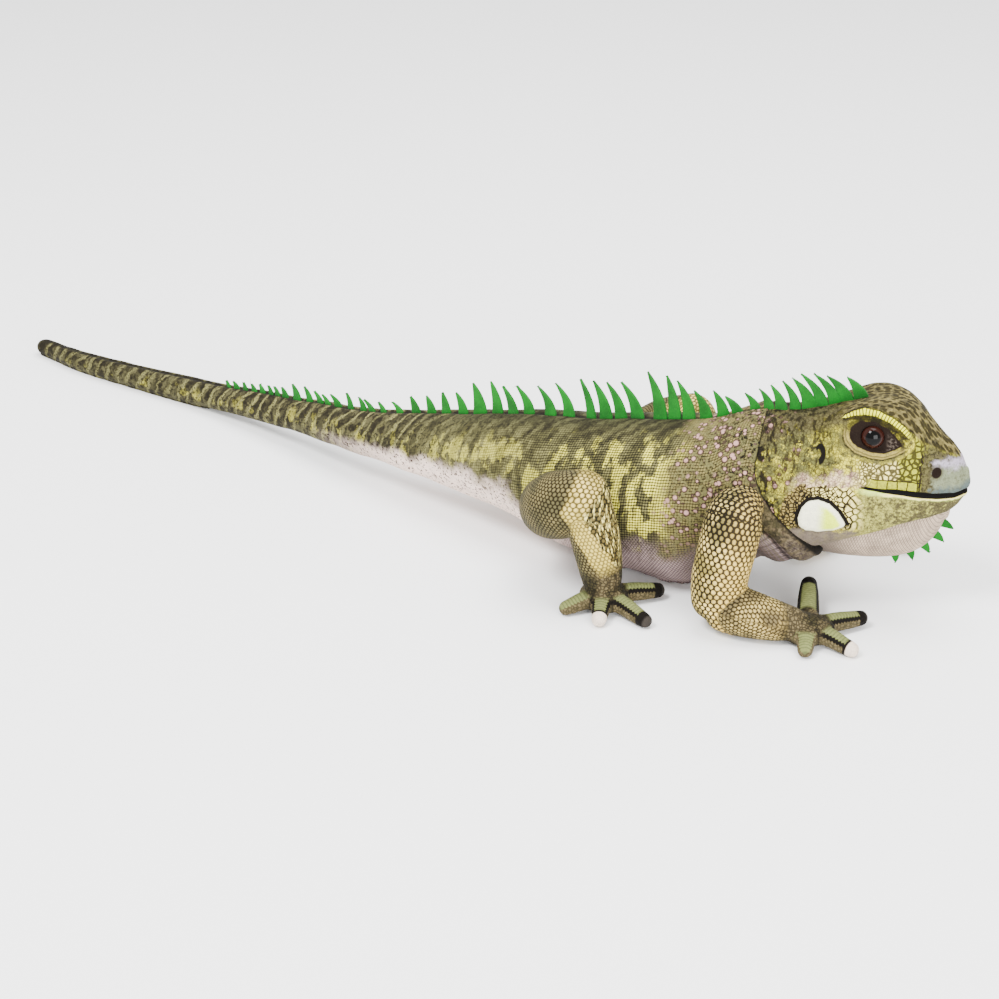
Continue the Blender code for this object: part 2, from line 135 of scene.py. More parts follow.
# Marks of the head, in its own frame as t and z.
SOCKET = (
    (51.8, 134),
    (52, 139),
    (54, 143),
    (59, 146),
    (67.5, 146),
    (75.5, 142.5),
    (82.5, 135.5),
    (86.5, 129.5),
    (81.5, 126.3),
    (75, 124),
    (66.5, 124.6),
    (58.5, 127.5),
    (53.5, 131),
)
BROW = (
    (48, 145.5),
    (53, 148),
    (60.5, 150.5),
    (69.2, 149.8),
    (77.8, 146.1),
    (85.5, 140.6),
    (93.5, 131.8),
    (99, 126),
)
MOUTH = ((61.5, 98.9), (71.6, 97.7), (84.9, 96.5), (98.2, 94.9), (111.4, 93.4), (121.2, 92.3), (132, 94.5))
SHIELD = (
    (24, 70),
    (23, 76),
    (25, 83.6),
    (29, 88.4),
    (35.4, 89.6),
    (42.3, 87.2),
    (48.5, 81.8),
    (52.6, 75),
    (54, 71.5),
    (46.7, 68.2),
    (36.7, 66.3),
    (28, 67),
)
EAR = (34.3, 120)
NOSTRIL = (109.2, 109.3)

# Limbs of the right side: x, y, z and radius down the middle of each sleeve.
UPPER_ARM = (
    (76, -44, 84, 14),
    (75, -54, 80, 19),
    (74, -61, 62, 19.5),
    (71, -65, 38, 19),
    (71, -66, 22, 18.5),
)
FOREARM = (
    (76, -67, 17, 16),
    (90, -65, 16.5, 16.5),
    (106, -61, 14.5, 14.5),
    (118, -55, 12, 12),
    (126, -51, 10, 10),
)
LEFT_FOREARM = (
    (74, 71, 17, 16),
    (78, 86, 16.5, 16.5),
    (82, 102, 14.5, 14.5),
    (85, 114, 12, 12),
    (87, 122, 10, 10),
)
THIGH = (
    (-66, -40, 53, 21),
    (-62, -62, 56, 22),
    (-45, -76, 67, 23.5),
    (-25, -80, 78, 20),
)
SHIN = (
    (-22, -80, 70, 17),
    (-16, -80, 50, 17),
    (-12, -79, 28, 15),
    (-10, -79, 14, 12.5),
)
# Hands and feet: x and y of the palm's middle and the way it points in degrees; toes as (angle from
# there, distance to the tip, rise of the tip, whiteness of the tip, or -1 for a tip left green).
RIGHT_HAND = (129, -49, 24)
LEFT_HAND = (89, 127, 68)
RIGHT_FOOT = (-9, -79, -37)
FINGERS = ((-92, 29, 0, -1), (-33, 40, 0, 1), (33, 47, 2, 0), (90, 54, 12, 0))
TOES = ((-86, 34, 0, -1), (-30, 34, 0, 1), (20, 45, 0, 0), (85, 44, 2, 0))
# Half sizes of a palm and the height of its middle; radius of a toe's tip.
PALM = (19, 17, 9.5)
PALM_Z = 8
TOE_TIP = 5.2

# Felt spines from the tail to the nape: x of the foot, height, how far the tip lies behind.
SPINES = (
    (-435, 4, 3),
    (-425, 5, 3),
    (-415, 5, 2),
    (-404, 5, 3),
    (-394, 6, 3),
    (-384, 6, 3),
    (-376, 6, 4),
    (-367, 7, 3),
    (-353, 11, 4),
    (-338, 11, 4),
    (-325, 9, 5),
    (-316, 7, 6),
    (-304, 9, 6),
    (-290, 11, 4),
    (-276, 9, 4),
    (-267, 8, 7),
    (-255, 7, 4),
    (-238, 8, 6),
    (-222, 13, 1),
    (-207, 13, 1),
    (-193, 15, 0),
    (-177, 15, 3),
    (-161, 22, 2),
    (-145, 23, 2),
    (-131, 19, 7),
    (-117, 20, 8),
    (-99, 20, 10),
    (-84, 23, 10),
    (-66, 28, 4),
    (-54, 27, 5),
    (-42, 26, 6),
    (-29, 26, 8),
    (-11, 33, 4),
    (0, 30, 1),
    (11, 26, 5),
    (24, 19, 5),
    (37, 18, 3),
    (48, 14, 3),
    (61, 11, 6),
    (70, 14, 6),
    (78, 16, 7),
    (87, 20, 7),
    (96, 23, 8),
    (104, 25, 9),
    (112, 24, 8),
    (119, 20, 8),
    (128, 17, 5),
)

# Settings of shader nodes.
COLOUR = {"data_type": "RGBA"}
MULTIPLY = {"data_type": "RGBA", "blend_type": "MULTIPLY"}
SMOOTH = {"interpolation_type": "SMOOTHSTEP"}
TIMES = {"operation": "MULTIPLY"}
TIMES_PLUS = {"operation": "MULTIPLY_ADD"}
PLUS = {"operation": "ADD"}
MINUS = {"operation": "SUBTRACT"}
SIZE = {"operation": "ABSOLUTE"}
TO_EDGE = {"feature": "DISTANCE_TO_EDGE"}
FLAT = {"voronoi_dimensions": "2D"}
NUMBER = {"data_type": "FLOAT"}

# Surfaces: plush and felt are matt with a faint sheen, the eyes polished, the paper matt.
PLUSH = {"Roughness": 0.8, "Specular IOR Level": 0.08, "Sheen Weight": 0.015, "Sheen Roughness": 0.4}
FELT = {"Roughness": 0.95, "Specular IOR Level": 0.05, "Sheen Weight": 0.04, "Sheen Roughness": 0.6}
ACRYLIC = {"Roughness": 0.04, "Specular IOR Level": 0.11}
PAPER = {"Roughness": 0.9}


def linear(code):
    """A colour given as sRGB hex, in the linear values that shaders take."""
    found = []
    for start in (0, 2, 4):
        value = int(code[start : start + 2], 16) / 255
        found.append(value / 12.92 if value <= 0.04045 else ((value + 0.055) / 1.055) ** 2.4)
    return (*found, 1.0)


@functools.lru_cache(maxsize=None)
def blend(rows, at):
    """The row of a table at a value of its first column, on a smooth curve through the rows."""
    rows = sorted(rows)
    at = min(max(at, rows[0][0]), rows[-1][0])
    span = max(i for i in range(len(rows) - 1) if rows[i][0] <= at)
    before, low, high, after = (rows[min(max(span + k, 0), len(rows) - 1)] for k in (-1, 0, 1, 2))
    width = high[0] - low[0]
    u = (at - low[0]) / width
    found = []
    for k in range(1, len(low)):
        rise_low = (high[k] - before[k]) / max(high[0] - before[0], TINY) * width
        rise_high = (after[k] - low[k]) / max(after[0] - low[0], TINY) * width
        found.append(
            (2 * u**3 - 3 * u**2 + 1) * low[k]
            + (u**3 - 2 * u**2 + u) * rise_low
            + (3 * u**2 - 2 * u**3) * high[k]
            + (u**3 - u**2) * rise_high
        )
    return tuple(found)


def hump(value, width):
    """A smooth bump: 1 where value is 0, fading over width."""
    return math.exp(-((value / width) ** 2))


def step(value, low, high):
    """Smooth change from 0 at low to 1 at high."""
    share = min(max((value - low) / (high - low), 0), 1)
    return share * share * (3 - 2 * share)


def ruck(point, length, seed=0.0):
    """Soft unevenness of a stuffed skin, from -1 to 1, with hollows about length mm apart."""
    return noise.noise(Vector(point) / length + Vector((seed, seed * 1.7, -seed)))


def line_reading(line, t, z):
    """Distance from a bent line, how far along it the nearest point is, and on which side."""
    best = None
    run = 0.0
    for (t0, z0), (t1, z1) in zip(line, line[1:]):
        span = math.hypot(t1 - t0, z1 - z0)
        share = ((t - t0) * (t1 - t0) + (z - z0) * (z1 - z0)) / span**2
        share = min(max(share, 0), 1)
        away = math.hypot(t - t0 - share * (t1 - t0), z - z0 - share * (z1 - z0))
        if best is None or away < best[0]:
            side = (t1 - t0) * (z - z0) - (z1 - z0) * (t - t0)
            best = (away, run + share * span, 1 if side > 0 else -1)
        run += span
    return best


def inside(outline, t, z):
    """Signed distance from a closed outline: negative inside it."""
    closed = outline + outline[:1]
    away, run, _ = line_reading(closed, t, z)
    crossings = 0
    for (t0, z0), (t1, z1) in zip(closed, closed[1:]):
        if (z0 > z) != (z1 > z) and t < t0 + (z - z0) / (z1 - z0) * (t1 - t0):
            crossings += 1
    return (-away if crossings % 2 else away), run


def head_world(t, side, z):
    """A point given in the head's frame, in the toy's own."""
    forward = Vector((math.cos(HEAD_TURN), math.sin(HEAD_TURN), 0))
    left = Vector((-math.sin(HEAD_TURN), math.cos(HEAD_TURN), 0))
    side += HEAD_BEND * max(HEAD_STRAIGHT - t, 0) ** 2
    return Vector((*HEAD_ROOT, 0)) + forward * t + left * side + Vector((0, 0, z))


def head_section(t, v):
    """A point of the head's outline across t: a smooth loop through crown, brow, cheek and jaw."""
    crown, brow_w, brow_z, cheek_w, cheek_z, jaw_w, jaw_z, under = blend(HEAD, round(t, 3))
    half = ((0, crown), (brow_w, brow_z), (cheek_w, cheek_z), (jaw_w, jaw_z), (0, under))
    loop = half + tuple((-side, z) for side, z in half[-2:0:-1])
    place = v * len(loop)
    span = int(place) % len(loop)
    u = place - int(place)
    p = [Vector(loop[(span + k) % len(loop)]) for k in (-1, 0, 1, 2)]
    return (
        p[1] * 2
        + (p[2] - p[0]) * u
        + (p[0] * 2 - p[1] * 5 + p[2] * 4 - p[3]) * u**2
        + (p[1] * 3 - p[0] - p[2] * 3 + p[3]) * u**3
    ) / 2


def torso_at(x, v):
    """A point of the torso's outline at x, round it by v from the back, and the outward way."""
    y, middle, half_height, half_width = blend(TORSO, round(x, 3))
    angle = 2 * math.pi * v
    way = Vector((0, math.sin(angle), math.cos(angle)))
    return Vector((x, y + half_width * way.y, middle + half_height * way.z)), way


# How far the collar's rim stands outside the head, and how much further out, down and forward it goes
# low down. Radius of its roll and what that gains low down, t where the roll's hidden end closes, how
# far behind the rim its inner edge lies, and how far behind the rim the neck takes the torso's shape.
RIM_GAP = 0.9
RIM_OUT = 2.2
RIM_DROP = 5.4
RIM_REACH = 7
ROLL_RADIUS = 1.5
ROLL_GAIN = 2.2
ROLL_END = -20
ROLL_DEPTH = 14
NECK_BLEND = 34


@functools.lru_cache(maxsize=None)
def collar_rim(v):
    """A point of the neck's front rim, and the way out from there.

    The rim runs just outside the head's crease. Low down it stands out further and reaches forward.
    """
    t = 0.0
    for _ in range(12):
        side, z = head_section(t, v)
        t += (blend(CREASE, round(z, 2))[0] - t) * 0.5
    low = step(-math.cos(2 * math.pi * v), 0.35, 0.95)
    out = Vector((side, z - HEAD_MIDDLE)).normalized()
    t += RIM_REACH * low
    side += out.x * (RIM_GAP + RIM_OUT * low)
    z += out.y * (RIM_GAP + RIM_DROP * low)
    return head_world(t, side, z), head_world(t, out.x, out.y) - head_world(t, 0, 0)


def new_piece(name, bm, home="toy_iguana"):
    """A mesh object at the origin from a bmesh, in the toy's collection."""
    mesh = bpy.data.meshes.new(name)
    bm.to_mesh(mesh)
    bm.free()
    mesh.shade_smooth()
    obj = bpy.data.objects.new(name, mesh)
    collection = bpy.data.collections.get(home)
    if collection is None:
        collection = bpy.data.collections.new(home)
        bpy.context.scene.collection.children.link(collection)
    collection.objects.link(obj)
    return obj


def bent_grid(rows, columns, place, readings=()):
    """A closed skin: a grid with rows along a piece and columns round it.

    place(u, v) gives the point in mm and, after it, one vector for each attribute in readings.
    """
    bm = bmesh.new()
    bmesh.ops.create_grid(bm, x_segments=rows, y_segments=columns, size=1)
    layers = [bm.verts.layers.float_vector.new(name) for name in readings]
    for vert in bm.verts:
        u, v = (vert.co.x + 1) / 2, (vert.co.y + 1) / 2
        point, *values = place(u, v)
        vert.co = Vector(point) * MM
        for layer, value in zip(layers, values):
            vert[layer] = Vector(value)
    bmesh.ops.remove_doubles(bm, verts=bm.verts, dist=TINY)
    bmesh.ops.recalc_face_normals(bm, faces=bm.faces)
    return bm


# Materials ------------------------------------------------------------------------------------


def node(tree, kind, *values, **settings):
    """Adds a shader node: settings are set on it and values go to its inputs in order.

    A value is a node or a socket to link from, a number or colour for the input, or None.
    """
    made = tree.nodes.new("ShaderNode" + kind)
    for name, value in settings.items():
        setattr(made, name, value)
    inputs = [socket for socket in made.inputs if socket.enabled]
    for socket, value in zip(inputs, values):
        if isinstance(value, bpy.types.Node):
            value = next(output for output in value.outputs if output.enabled)
        if isinstance(value, bpy.types.NodeSocket):
            tree.links.new(value, socket)
        elif value is not None:
            socket.default_value = value
    return made


def new_material(name):
    """An empty material, its tree and a shorthand that adds nodes to it."""
    made = bpy.data.materials.new(name)
    made.use_nodes = True
    made.node_tree.nodes.clear()
    return made, functools.partial(node, made.node_tree)


def masks(add, *found):
    """Masks multiplied together: sockets, numbers, or (value, 0 at, 1 at) for a fade.

    Two more numbers stand for the 0 and the 1. A tuple eases in and out, and a list is even.
    """
    ways = {tuple: SMOOTH, list: {}}
    found = [add("MapRange", *mask, **ways[type(mask)]) if type(mask) in ways else mask for mask in found]
    return functools.reduce(lambda so_far, mask: add("Math", so_far, mask, **TIMES), found)


def coat(add, ground, colour, *found):
    """Prints a colour over the ground where all the masks are 1."""
    return add("Mix", masks(add, *found), ground, colour, **COLOUR)


def total(add, start, *parts):
    """start and, for each pair in parts, the first times the second."""
    return functools.reduce(lambda so_far, part: add("Math", *part, so_far, **TIMES_PLUS), parts, start)


def reading(add, name):
    """The three numbers that a skin carries under a name."""
    return add("SeparateXYZ", add("Attribute", attribute_name=name).outputs["Vector"]).outputs


def surface(add, colour, values, bump=None):
    """Ends a material with its surface: the colour, the values of named inputs and the bump."""
    shader = add("BsdfPrincipled", colour)
    for name, value in values.items():
        shader.inputs[name].default_value = value
    if bump:
        add.args[0].links.new(bump.outputs["Normal"], shader.inputs["Normal"])
    add("OutputMaterial", shader)


def scale_rows(add, place, width, height):
    """Distance in mm from the middle of the nearest scale, for scales in staggered rows."""
    found = []
    for shift in (0, 0.5):
        cell = add("VectorMath", place, (1 / width, 1 / height, 0), (shift, shift, 0), **TIMES_PLUS)
        cell = add("VectorMath", cell, operation="FRACTION")
        cell = add("VectorMath", cell, (-0.5, -0.5, 0), **PLUS)
        cell = add("VectorMath", cell, (width, height, 0), **TIMES)
        found.append(add("VectorMath", cell, operation="LENGTH"))
    return add("Math", *found, operation="MINIMUM")


def threads(add, value, pitch):
    """1 between printed threads and 0 on them, for lines pitch apart."""
    wave = add("Math", add("Math", value, pitch, operation="DIVIDE"), operation="FRACT")
    wave = add("Math", add("Math", wave, 0.5, **MINUS), **SIZE)
    return add("MapRange", wave, 0.46, 0.24, **SMOOTH)


def plush(add, colour, relief, depth):
    """Short-pile plush: printed colour, matt, with a faint sheen and a pile that breaks the light."""
    place = add("TexCoord").outputs["Object"]
    pile = add("TexNoise", place, METRE / 0.9, 2.0, 0.6)
    lie = add("TexNoise", place, METRE / 6, 2.0, 0.5)
    height = total(add, relief, (pile, 0.35))
    bump = add("Bump", 0.55, depth * MM, None, height)
    shade = masks(add, [pile, 0.3, 0.7, 0.84, 1.12], [lie, 0.3, 0.7, 0.9, 1.08])
    colour = add("Mix", 1.0, colour, add("CombineXYZ", shade, shade, shade), **MULTIPLY)
    surface(add, colour, PLUSH, bump)


def bands(add, value, pitch, edge, middle):
    """Repeats every pitch: 1 in the middle of a band and 0 outside it, fading from middle to edge."""
    wave = add("Math", add("Math", value, 1 / pitch, **TIMES), operation="FRACT")
    wave = add("Math", add("Math", wave, 0.5, **MINUS), **SIZE)
    return add("MapRange", wave, edge, middle, **SMOOTH)


# Pitches of the printed patterns, and width and height of the limbs' scales.
NET_PITCH = 2.0
BELLY_PITCH = 2.4
SLASH_PITCH = 14.0
RING_PITCH = 12.0
THROAT_PITCH = 1.9
NECK_SPOT = 4.7
HEAD_SPOT = 5.4
LIP_SCALE = 6.4
BROW_SCALE = 2.2
LARGE_BEAD = (4.3, 6.2)
SMALL_BEAD = (3.1, 4.8)
TOE_RIB = 2.3
TOE_STITCH = 2.4


def body_material(colours):
    """Printed short-pile plush of torso and tail: olive with dark bars, pale blotches and net."""
    made, add = new_material("printed_plush_body")
    place = add("TexCoord").outputs["Object"]
    # Millimetres behind x = 0 and round from the back's seam, and the share of the way to the belly.
    cloth = add("Attribute", attribute_name="cloth").outputs["Vector"]
    along, down, share = add("SeparateXYZ", cloth).outputs
    # Millimetres behind the collar's rim.
    behind = reading(add, "fold")[0]
    broad = add("TexNoise", place, METRE / 26, 3.0, 0.55)
    fine = add("TexNoise", place, METRE / 7, 3.0, 0.6)
    speck = add("TexNoise", place, METRE / 2.2, 2.0, 0.6)
    thin = add("MapRange", along, 150, 330, 1.0, 0.45)

    # Ground: olive on the back, khaki on the flank, brownish and darker lower down in part as painted
    # shade, mottled along the tail.
    tall = add("Math", down, thin, operation="DIVIDE")
    ground = coat(add, colours.olive, colours.flank, (tall, 6, 40))
    lower = total(add, share, (broad, 0.22))
    ground = coat(add, ground, colours.flank_low, (lower, 0.58, 0.74))
    tail = coat(add, colours.tail_dark, colours.tail, (fine, 0.4, 0.6))
    ground = coat(add, ground, tail, (along, 150, 260))
    ground = coat(add, ground, colours.flank_shade, (fine, 0.45, 0.62, 0.0, 0.55))

    # Pale blotches, stretched down the flank and largest near the shoulder.
    stretched = add("VectorMath", cloth, (1 / 13, 1 / 24, 0), **TIMES)
    blotch = add("TexNoise", stretched, 1.0, 4.0, 0.6)
    reach = masks(add, (tall, 14, 40), (share, 0.66, 0.48))
    lift = add("MapRange", along, 60, -10, 0.0, 0.06)
    lift = total(add, lift, (reach, 0.08))
    blotch = add("Math", blotch, lift, **PLUS)
    blotch = masks(add, (blotch, 0.6, 0.65), reach)
    ground = coat(add, ground, colours.blotch, blotch, [along, 55, 110, 1.0, 0.4])

    # Dark brown upright bands over the flank, between the blotches.
    folded = add("VectorMath", cloth, (1 / 9, 1 / 34, 0), (7.3, 2.1, 0), **TIMES_PLUS)
    dark = add("TexNoise", folded, 1.0, 4.0, 0.6)
    ground = coat(
        add, ground, colours.bar, (dark, 0.49, 0.56), (share, 0.68, 0.5), [blotch, 0.0, 1.0, 0.52, 0.2]
    )

    # Dark slashes that start at the crest and slant back as they go down.
    slant = total(add, along, (down, -0.75), (broad, 44), (fine, 8))
    slash = bands(add, slant, SLASH_PITCH, 0.36, 0.14)
    length = total(add, tall, (broad, -70))
    ground = coat(add, ground, colours.bar, slash, (length, 14, -18), [speck, 0.35, 0.55, 0.35, 0.75])

    # Narrow pale rings down the tail, each with a dark edge.
    ring = total(add, along, (down, -0.45), (broad, 24), (fine, 7))
    far = add("MapRange", along, 140, 230, **SMOOTH)
    edge = bands(add, ring, RING_PITCH, 0.5, 0.3)
    ground = coat(add, ground, colours.bar, edge, far, [fine, 0.6, 0.42, 0.0, 0.55])
    ring = add("Math", ring, 4.6, **PLUS)
    pale = add("Math", bands(add, ring, RING_PITCH, 0.17, 0.09), far, **TIMES)
    ground = coat(
        add, ground, colours.ring, pale, [speck, 0.36, 0.5, 0.2, 0.9], [broad, 0.4, 0.55, 0.35, 1.0],
        [along, 400, 540, 1.0, 0.7]
    )
    ground = coat(add, ground, colours.bar, (speck, 0.54, 0.62), [along, 90, 200, 0.3, 0.8])

    # Woven net over flank and shoulder: threads along the body show more than those across it.
    sagging = total(add, down, (broad, 5))
    lengthwise = add("Math", 1.0, threads(add, sagging, NET_PITCH), **MINUS)
    crosswise = add("Math", 1.0, threads(add, along, NET_PITCH), **MINUS)
    net = total(add, lengthwise, (crosswise, 0.75))
    net = add("Math", net, 1.0, operation="MINIMUM")
    strength = masks(add, (down, 4, 34, 0.25, 1.0), [along, 170, 70, 0.25, 1.0])
    net = add("Math", net, strength, **TIMES)
    ground = coat(add, ground, colours.net, net)

    # Lilac-grey belly with a fine slanting net, and the pinkish speckled underside of the tail.
    cross = total(add, along, (down, 0.7))
    other = total(add, along, (down, -0.7))
    weave = [threads(add, way, BELLY_PITCH) for way in (cross, other)]
    skin = coat(add, colours.belly_net, colours.belly, *weave)
    pink = coat(add, colours.tail_pink, colours.tail_speck, (speck, 0.57, 0.63))
    skin = coat(add, skin, pink, (along, 40, 100))
    under = add("Math", lower, add("MapRange", along, 70, 150, 0.0, 0.11), **PLUS)
    under = total(add, under, (fine, 0.12))
    ground = coat(add, ground, skin, (under, 0.71, 0.87), (along, 330, 215))

    # Neck and shoulder: pink-white dots with dark rims, and black patches between them.
    neck = total(add, along, (broad, 34))
    neck = masks(add, (neck, 6, -14), (share, 0.7, 0.6))
    tan = coat(add, colours.neck, colours.net, net, 0.9)
    tan = coat(add, tan, colours.fold_dark, (fine, 0.44, 0.54), [behind, 60, 4, 0.25, 1.0])
    tan = coat(add, tan, colours.flank, (total(add, speck, (fine, 0.7)), 0.84, 0.95, 0.0, 0.55))
    ground = coat(add, ground, tan, neck)
    spots = add("TexVoronoi", place, METRE / NECK_SPOT, None, None, None, 0.95)
    around = masks(add, neck, (broad, 0.38, 0.46), (share, 0.6, 0.5, 0.35, 1.0))
    size = add("SeparateXYZ", spots.outputs["Color"]).outputs["X"]
    spread = masks(add, spots.outputs["Distance"], [size, 0.0, 1.0, 0.7, 1.35])
    ground = coat(add, ground, colours.spot_rim, (spread, 0.52, 0.38, 0.0, 0.8), around)
    ground = coat(add, ground, colours.spot, (spread, 0.36, 0.2, 0.0, 0.92), around)

    # The collar at the crease is khaki low down. Its groove and the tuck under it get painted shade, and
    # the seam of the back is dark.
    low = add("MapRange", share, 0.42, 0.58, **SMOOTH)
    lip = coat(add, colours.collar_dark, colours.collar, (fine, 0.42, 0.6))
    # The collar darkens towards its bottom, in part painted shade.
    lip = coat(add, lip, colours.flank_low, [share, 0.66, 0.86])
    lip = coat(add, lip, colours.fold_dark, [speck, 0.46, 0.6, 0.0, 0.8])
    ground = coat(add, ground, lip, (behind, 10.5, 8.5, 0.0, 0.9), low)
    groove = add("Math", add("Math", behind, 11, **MINUS), **SIZE)
    # Low on the neck behind the groove: brownish khaki under the net, darker in part as painted shade.
    fleshy = coat(add, colours.flank_low, colours.belly_net, net)
    ground = coat(add, ground, fleshy, (behind, 11, 14), (share, 0.56, 0.72), (along, -20, -45), 0.9)
    # Painted shade in the collar's groove, low down.
    groove = masks(add, (groove, 2.2, 0.4, 0.0, 0.85), low)
    # Painted shade inside the collar's roll, where the neck tucks under it.
    tuck_shade = add("MapRange", behind, 0.0, -2.5, **SMOOTH)
    groove = add("Math", tuck_shade, groove, operation="MAXIMUM")
    ground = coat(add, ground, colours.fold_dark, groove)
    ground = coat(add, ground, colours.fold_dark, (down, 3.4, 1.2, 0.0, 0.85))
    ground = coat(add, ground, colours.bar, (total(add, along, (fine, 16)), 652, 664, 0.0, 0.8))
    plush(add, ground, add("Math", net, -0.4, **TIMES), 0.35)
    return made


def head_material(colours):
    """Printed short-pile plush of the head, its scales and marks laid out in the head's frame."""
    made, add = new_material("printed_plush_head")
    place = add("TexCoord").outputs["Object"]
    face = add("Attribute", attribute_name="face").outputs["Vector"]
    t, side, z = add("SeparateXYZ", face).outputs
    # Millimetres above the mouth line, above the brow line and along that.
    lip, brow, brow_run = reading(add, "mouth")
    # Millimetres outside the socket; 1 on its lower side; 1 on the crown.
    lid, lid_low, crown = reading(add, "eyelid")
    # Millimetres outside the shield and along its outline.
    shield, shield_run, ear = reading(add, "shield")
    # Millimetres ahead of the crease and round from the crown.
    nostril, crease, arc = reading(add, "nose")

    broad = add("TexNoise", place, METRE / 15, 3.0, 0.55)
    fine = add("TexNoise", place, METRE / 4.5, 3.0, 0.6)
    speck = add("TexNoise", place, METRE / 2.0, 2.0, 0.6)
    streak = add("VectorMath", face, (1 / 3.0, 1 / 6, 1 / 8), **TIMES)
    streak = add("TexNoise", streak, 1.0, 4.0, 0.62)
    wobble = add(
        "VectorMath", add("TexNoise", place, METRE / 5).outputs["Color"], (-0.5, -0.5, -0.5), **PLUS
    )
    bent = add("VectorMath", wobble, (0.0012, 0.0012, 0.0012), place, **TIMES_PLUS)
    small = add("TexVoronoi", bent, METRE / 2.4, None, None, None, 0.8, **TO_EDGE)
    medium = add("TexVoronoi", bent, METRE / 3.9, None, None, None, 0.75, **TO_EDGE)

    # Ground: streaked olive and yellow at the back, yellow-cream on the cheek, in tiny scales.
    ground = coat(add, colours.head_olive, colours.head_yellow, (broad, 0.42, 0.58))
    ground = coat(add, ground, colours.head_dark, (streak, 0.5, 0.6, 0.0, 0.9))
    ground = coat(add, ground, colours.cheek, (total(add, fine, (speck, 0.6)), 0.86, 0.96, 0.0, 0.7))
    cheek = total(add, t, (fine, 16))
    cream = coat(add, colours.cheek_shade, colours.cheek, (fine, 0.42, 0.58))
    ground = coat(add, ground, cream, (cheek, 46, 62))
    nape = total(add, z, (t, -0.45), (broad, 26))
    top = coat(add, colours.crown, colours.crown_dark, (streak, 0.46, 0.56))
    ground = coat(add, ground, top, (nape, 126, 138, 0.0, 0.9), (t, 62, 54))

    # Pink-brown spots in clusters behind the ear, and black marks by the crease.
    spots = add("TexVoronoi", place, METRE / HEAD_SPOT, None, None, None, 0.9)
    spotted = masks(add, (broad, 0.5, 0.55), (t, 30, 20))
    ground = coat(add, ground, colours.spot_rim, (spots.outputs["Distance"], 0.5, 0.36, 0.0, 0.85), spotted)
    ground = coat(add, ground, colours.spot, (spots.outputs["Distance"], 0.36, 0.18, 0.0, 0.8), spotted)
    ground = coat(add, ground, colours.fold_dark, (streak, 0.48, 0.58), (crease, 17, 2))

    # Pinkish white band from the corner of the mouth back over the jowl.
    band = total(add, z, (t, -0.2), (broad, 22))
    band = add("Math", add("Math", band, 104.5, **MINUS), **SIZE)
    tint = coat(add, colours.spot, colours.pale, (fine, 0.36, 0.5))
    tint = coat(add, tint, colours.cheek_shade, [speck, 0.5, 0.64, 0.0, 0.55])
    ground = coat(
        add, ground, tint, (total(add, band, (fine, 12)), 15, 8, 0.0, 0.85), (t, 68, 58),
        (t, 12, 30, 0.0, 0.85),
    )
    ground = coat(add, ground, colours.scale_line, (small, 0.15, 0.03, 0.0, 0.62))

    # Crown: long dark pits in a paler honeycomb, each with a painted highlight on one side of its rim.
    comb = add("VectorMath", add("CombineXYZ", t, arc), (1 / 5.0, 1 / 3.5, 0), **TIMES)
    pits = []
    for shift in ((0, 0, 0), (-0.16, -0.22, 0)):
        moved = add("VectorMath", comb, shift, **PLUS)
        moved = add("TexVoronoi", moved, 1.0, None, None, None, 0.75, **FLAT)
        pit = total(add, moved.outputs["Distance"], (fine, 0.6))
        pits.append(add("MapRange", pit, 0.84, 0.6, 0.0, 0.9, **SMOOTH))
    cells = coat(add, colours.crown, colours.crown_edge, [broad, 0.4, 0.6])
    cells = coat(add, cells, colours.crown_dark, [fine, 0.4, 0.62, 0.5, 0.0])
    # Painted highlight: a paler rim beside each pit, offset to one side.
    cells = coat(add, cells, colours.crown_edge, pits[1])
    cells = coat(add, cells, colours.crown_dark, pits[0])
    cells = coat(add, cells, colours.crown_dark, [speck, 0.5, 0.68, 0.0, 0.45])
    ground = coat(add, ground, cells, crown)

    # Scales between eye and mouth: small and white behind, larger and yellow in front.
    edge = add("Mix", add("MapRange", t, 70, 74, **SMOOTH), small, medium, **NUMBER)
    white = coat(add, colours.scale_white, colours.scale_yellow, (total(add, t, (fine, 14)), 90, 95))
    white = coat(add, white, colours.cheek_shade, [speck, 0.45, 0.65, 0.0, 0.5])
    white = coat(add, white, colours.scale_line, (edge, 0.24, 0.1, 0.0, 0.92))
    ground = coat(
        add, ground, white, (t, 55, 64), (lip, 2, 5), (lid, 6.5, 8.5), add("Math", 1.0, crown, **MINUS)
    )

    # Jowl net round the shield: tan cells behind, larger white ones in front.
    ring = add("CombineXYZ", shield_run, shield)
    loose = add("VectorMath", ring, (1 / 3.3, 1 / 4.6, 0), **TIMES)
    loose = add("TexVoronoi", loose, 1.0, None, None, None, 0.65, **FLAT, **TO_EDGE)
    ahead = add("MapRange", t, 44, 52, **SMOOTH)
    tint = coat(add, colours.jowl_tan, colours.scale_white, (t, 24, 40))
    tint = coat(add, tint, colours.jowl_tan, [speck, 0.48, 0.66, 0.0, 0.5])
    drawn = coat(add, colours.scale_line, colours.outline, (shield, 9, 4))
    tint = coat(add, tint, drawn, (add("Mix", ahead, small, loose, **NUMBER), 0.22, 0.07))
    wide = add("MapRange", t, 34, 56, 13.0, 17.0)
    jowl = add("Math", shield, wide, **MINUS)
    ground = coat(
        add, ground, tint, (total(add, jowl, (fine, 5)), 3.5, 1.5), (lip, 2, -3), (t, 74, 62), (z, 66, 71)
    )

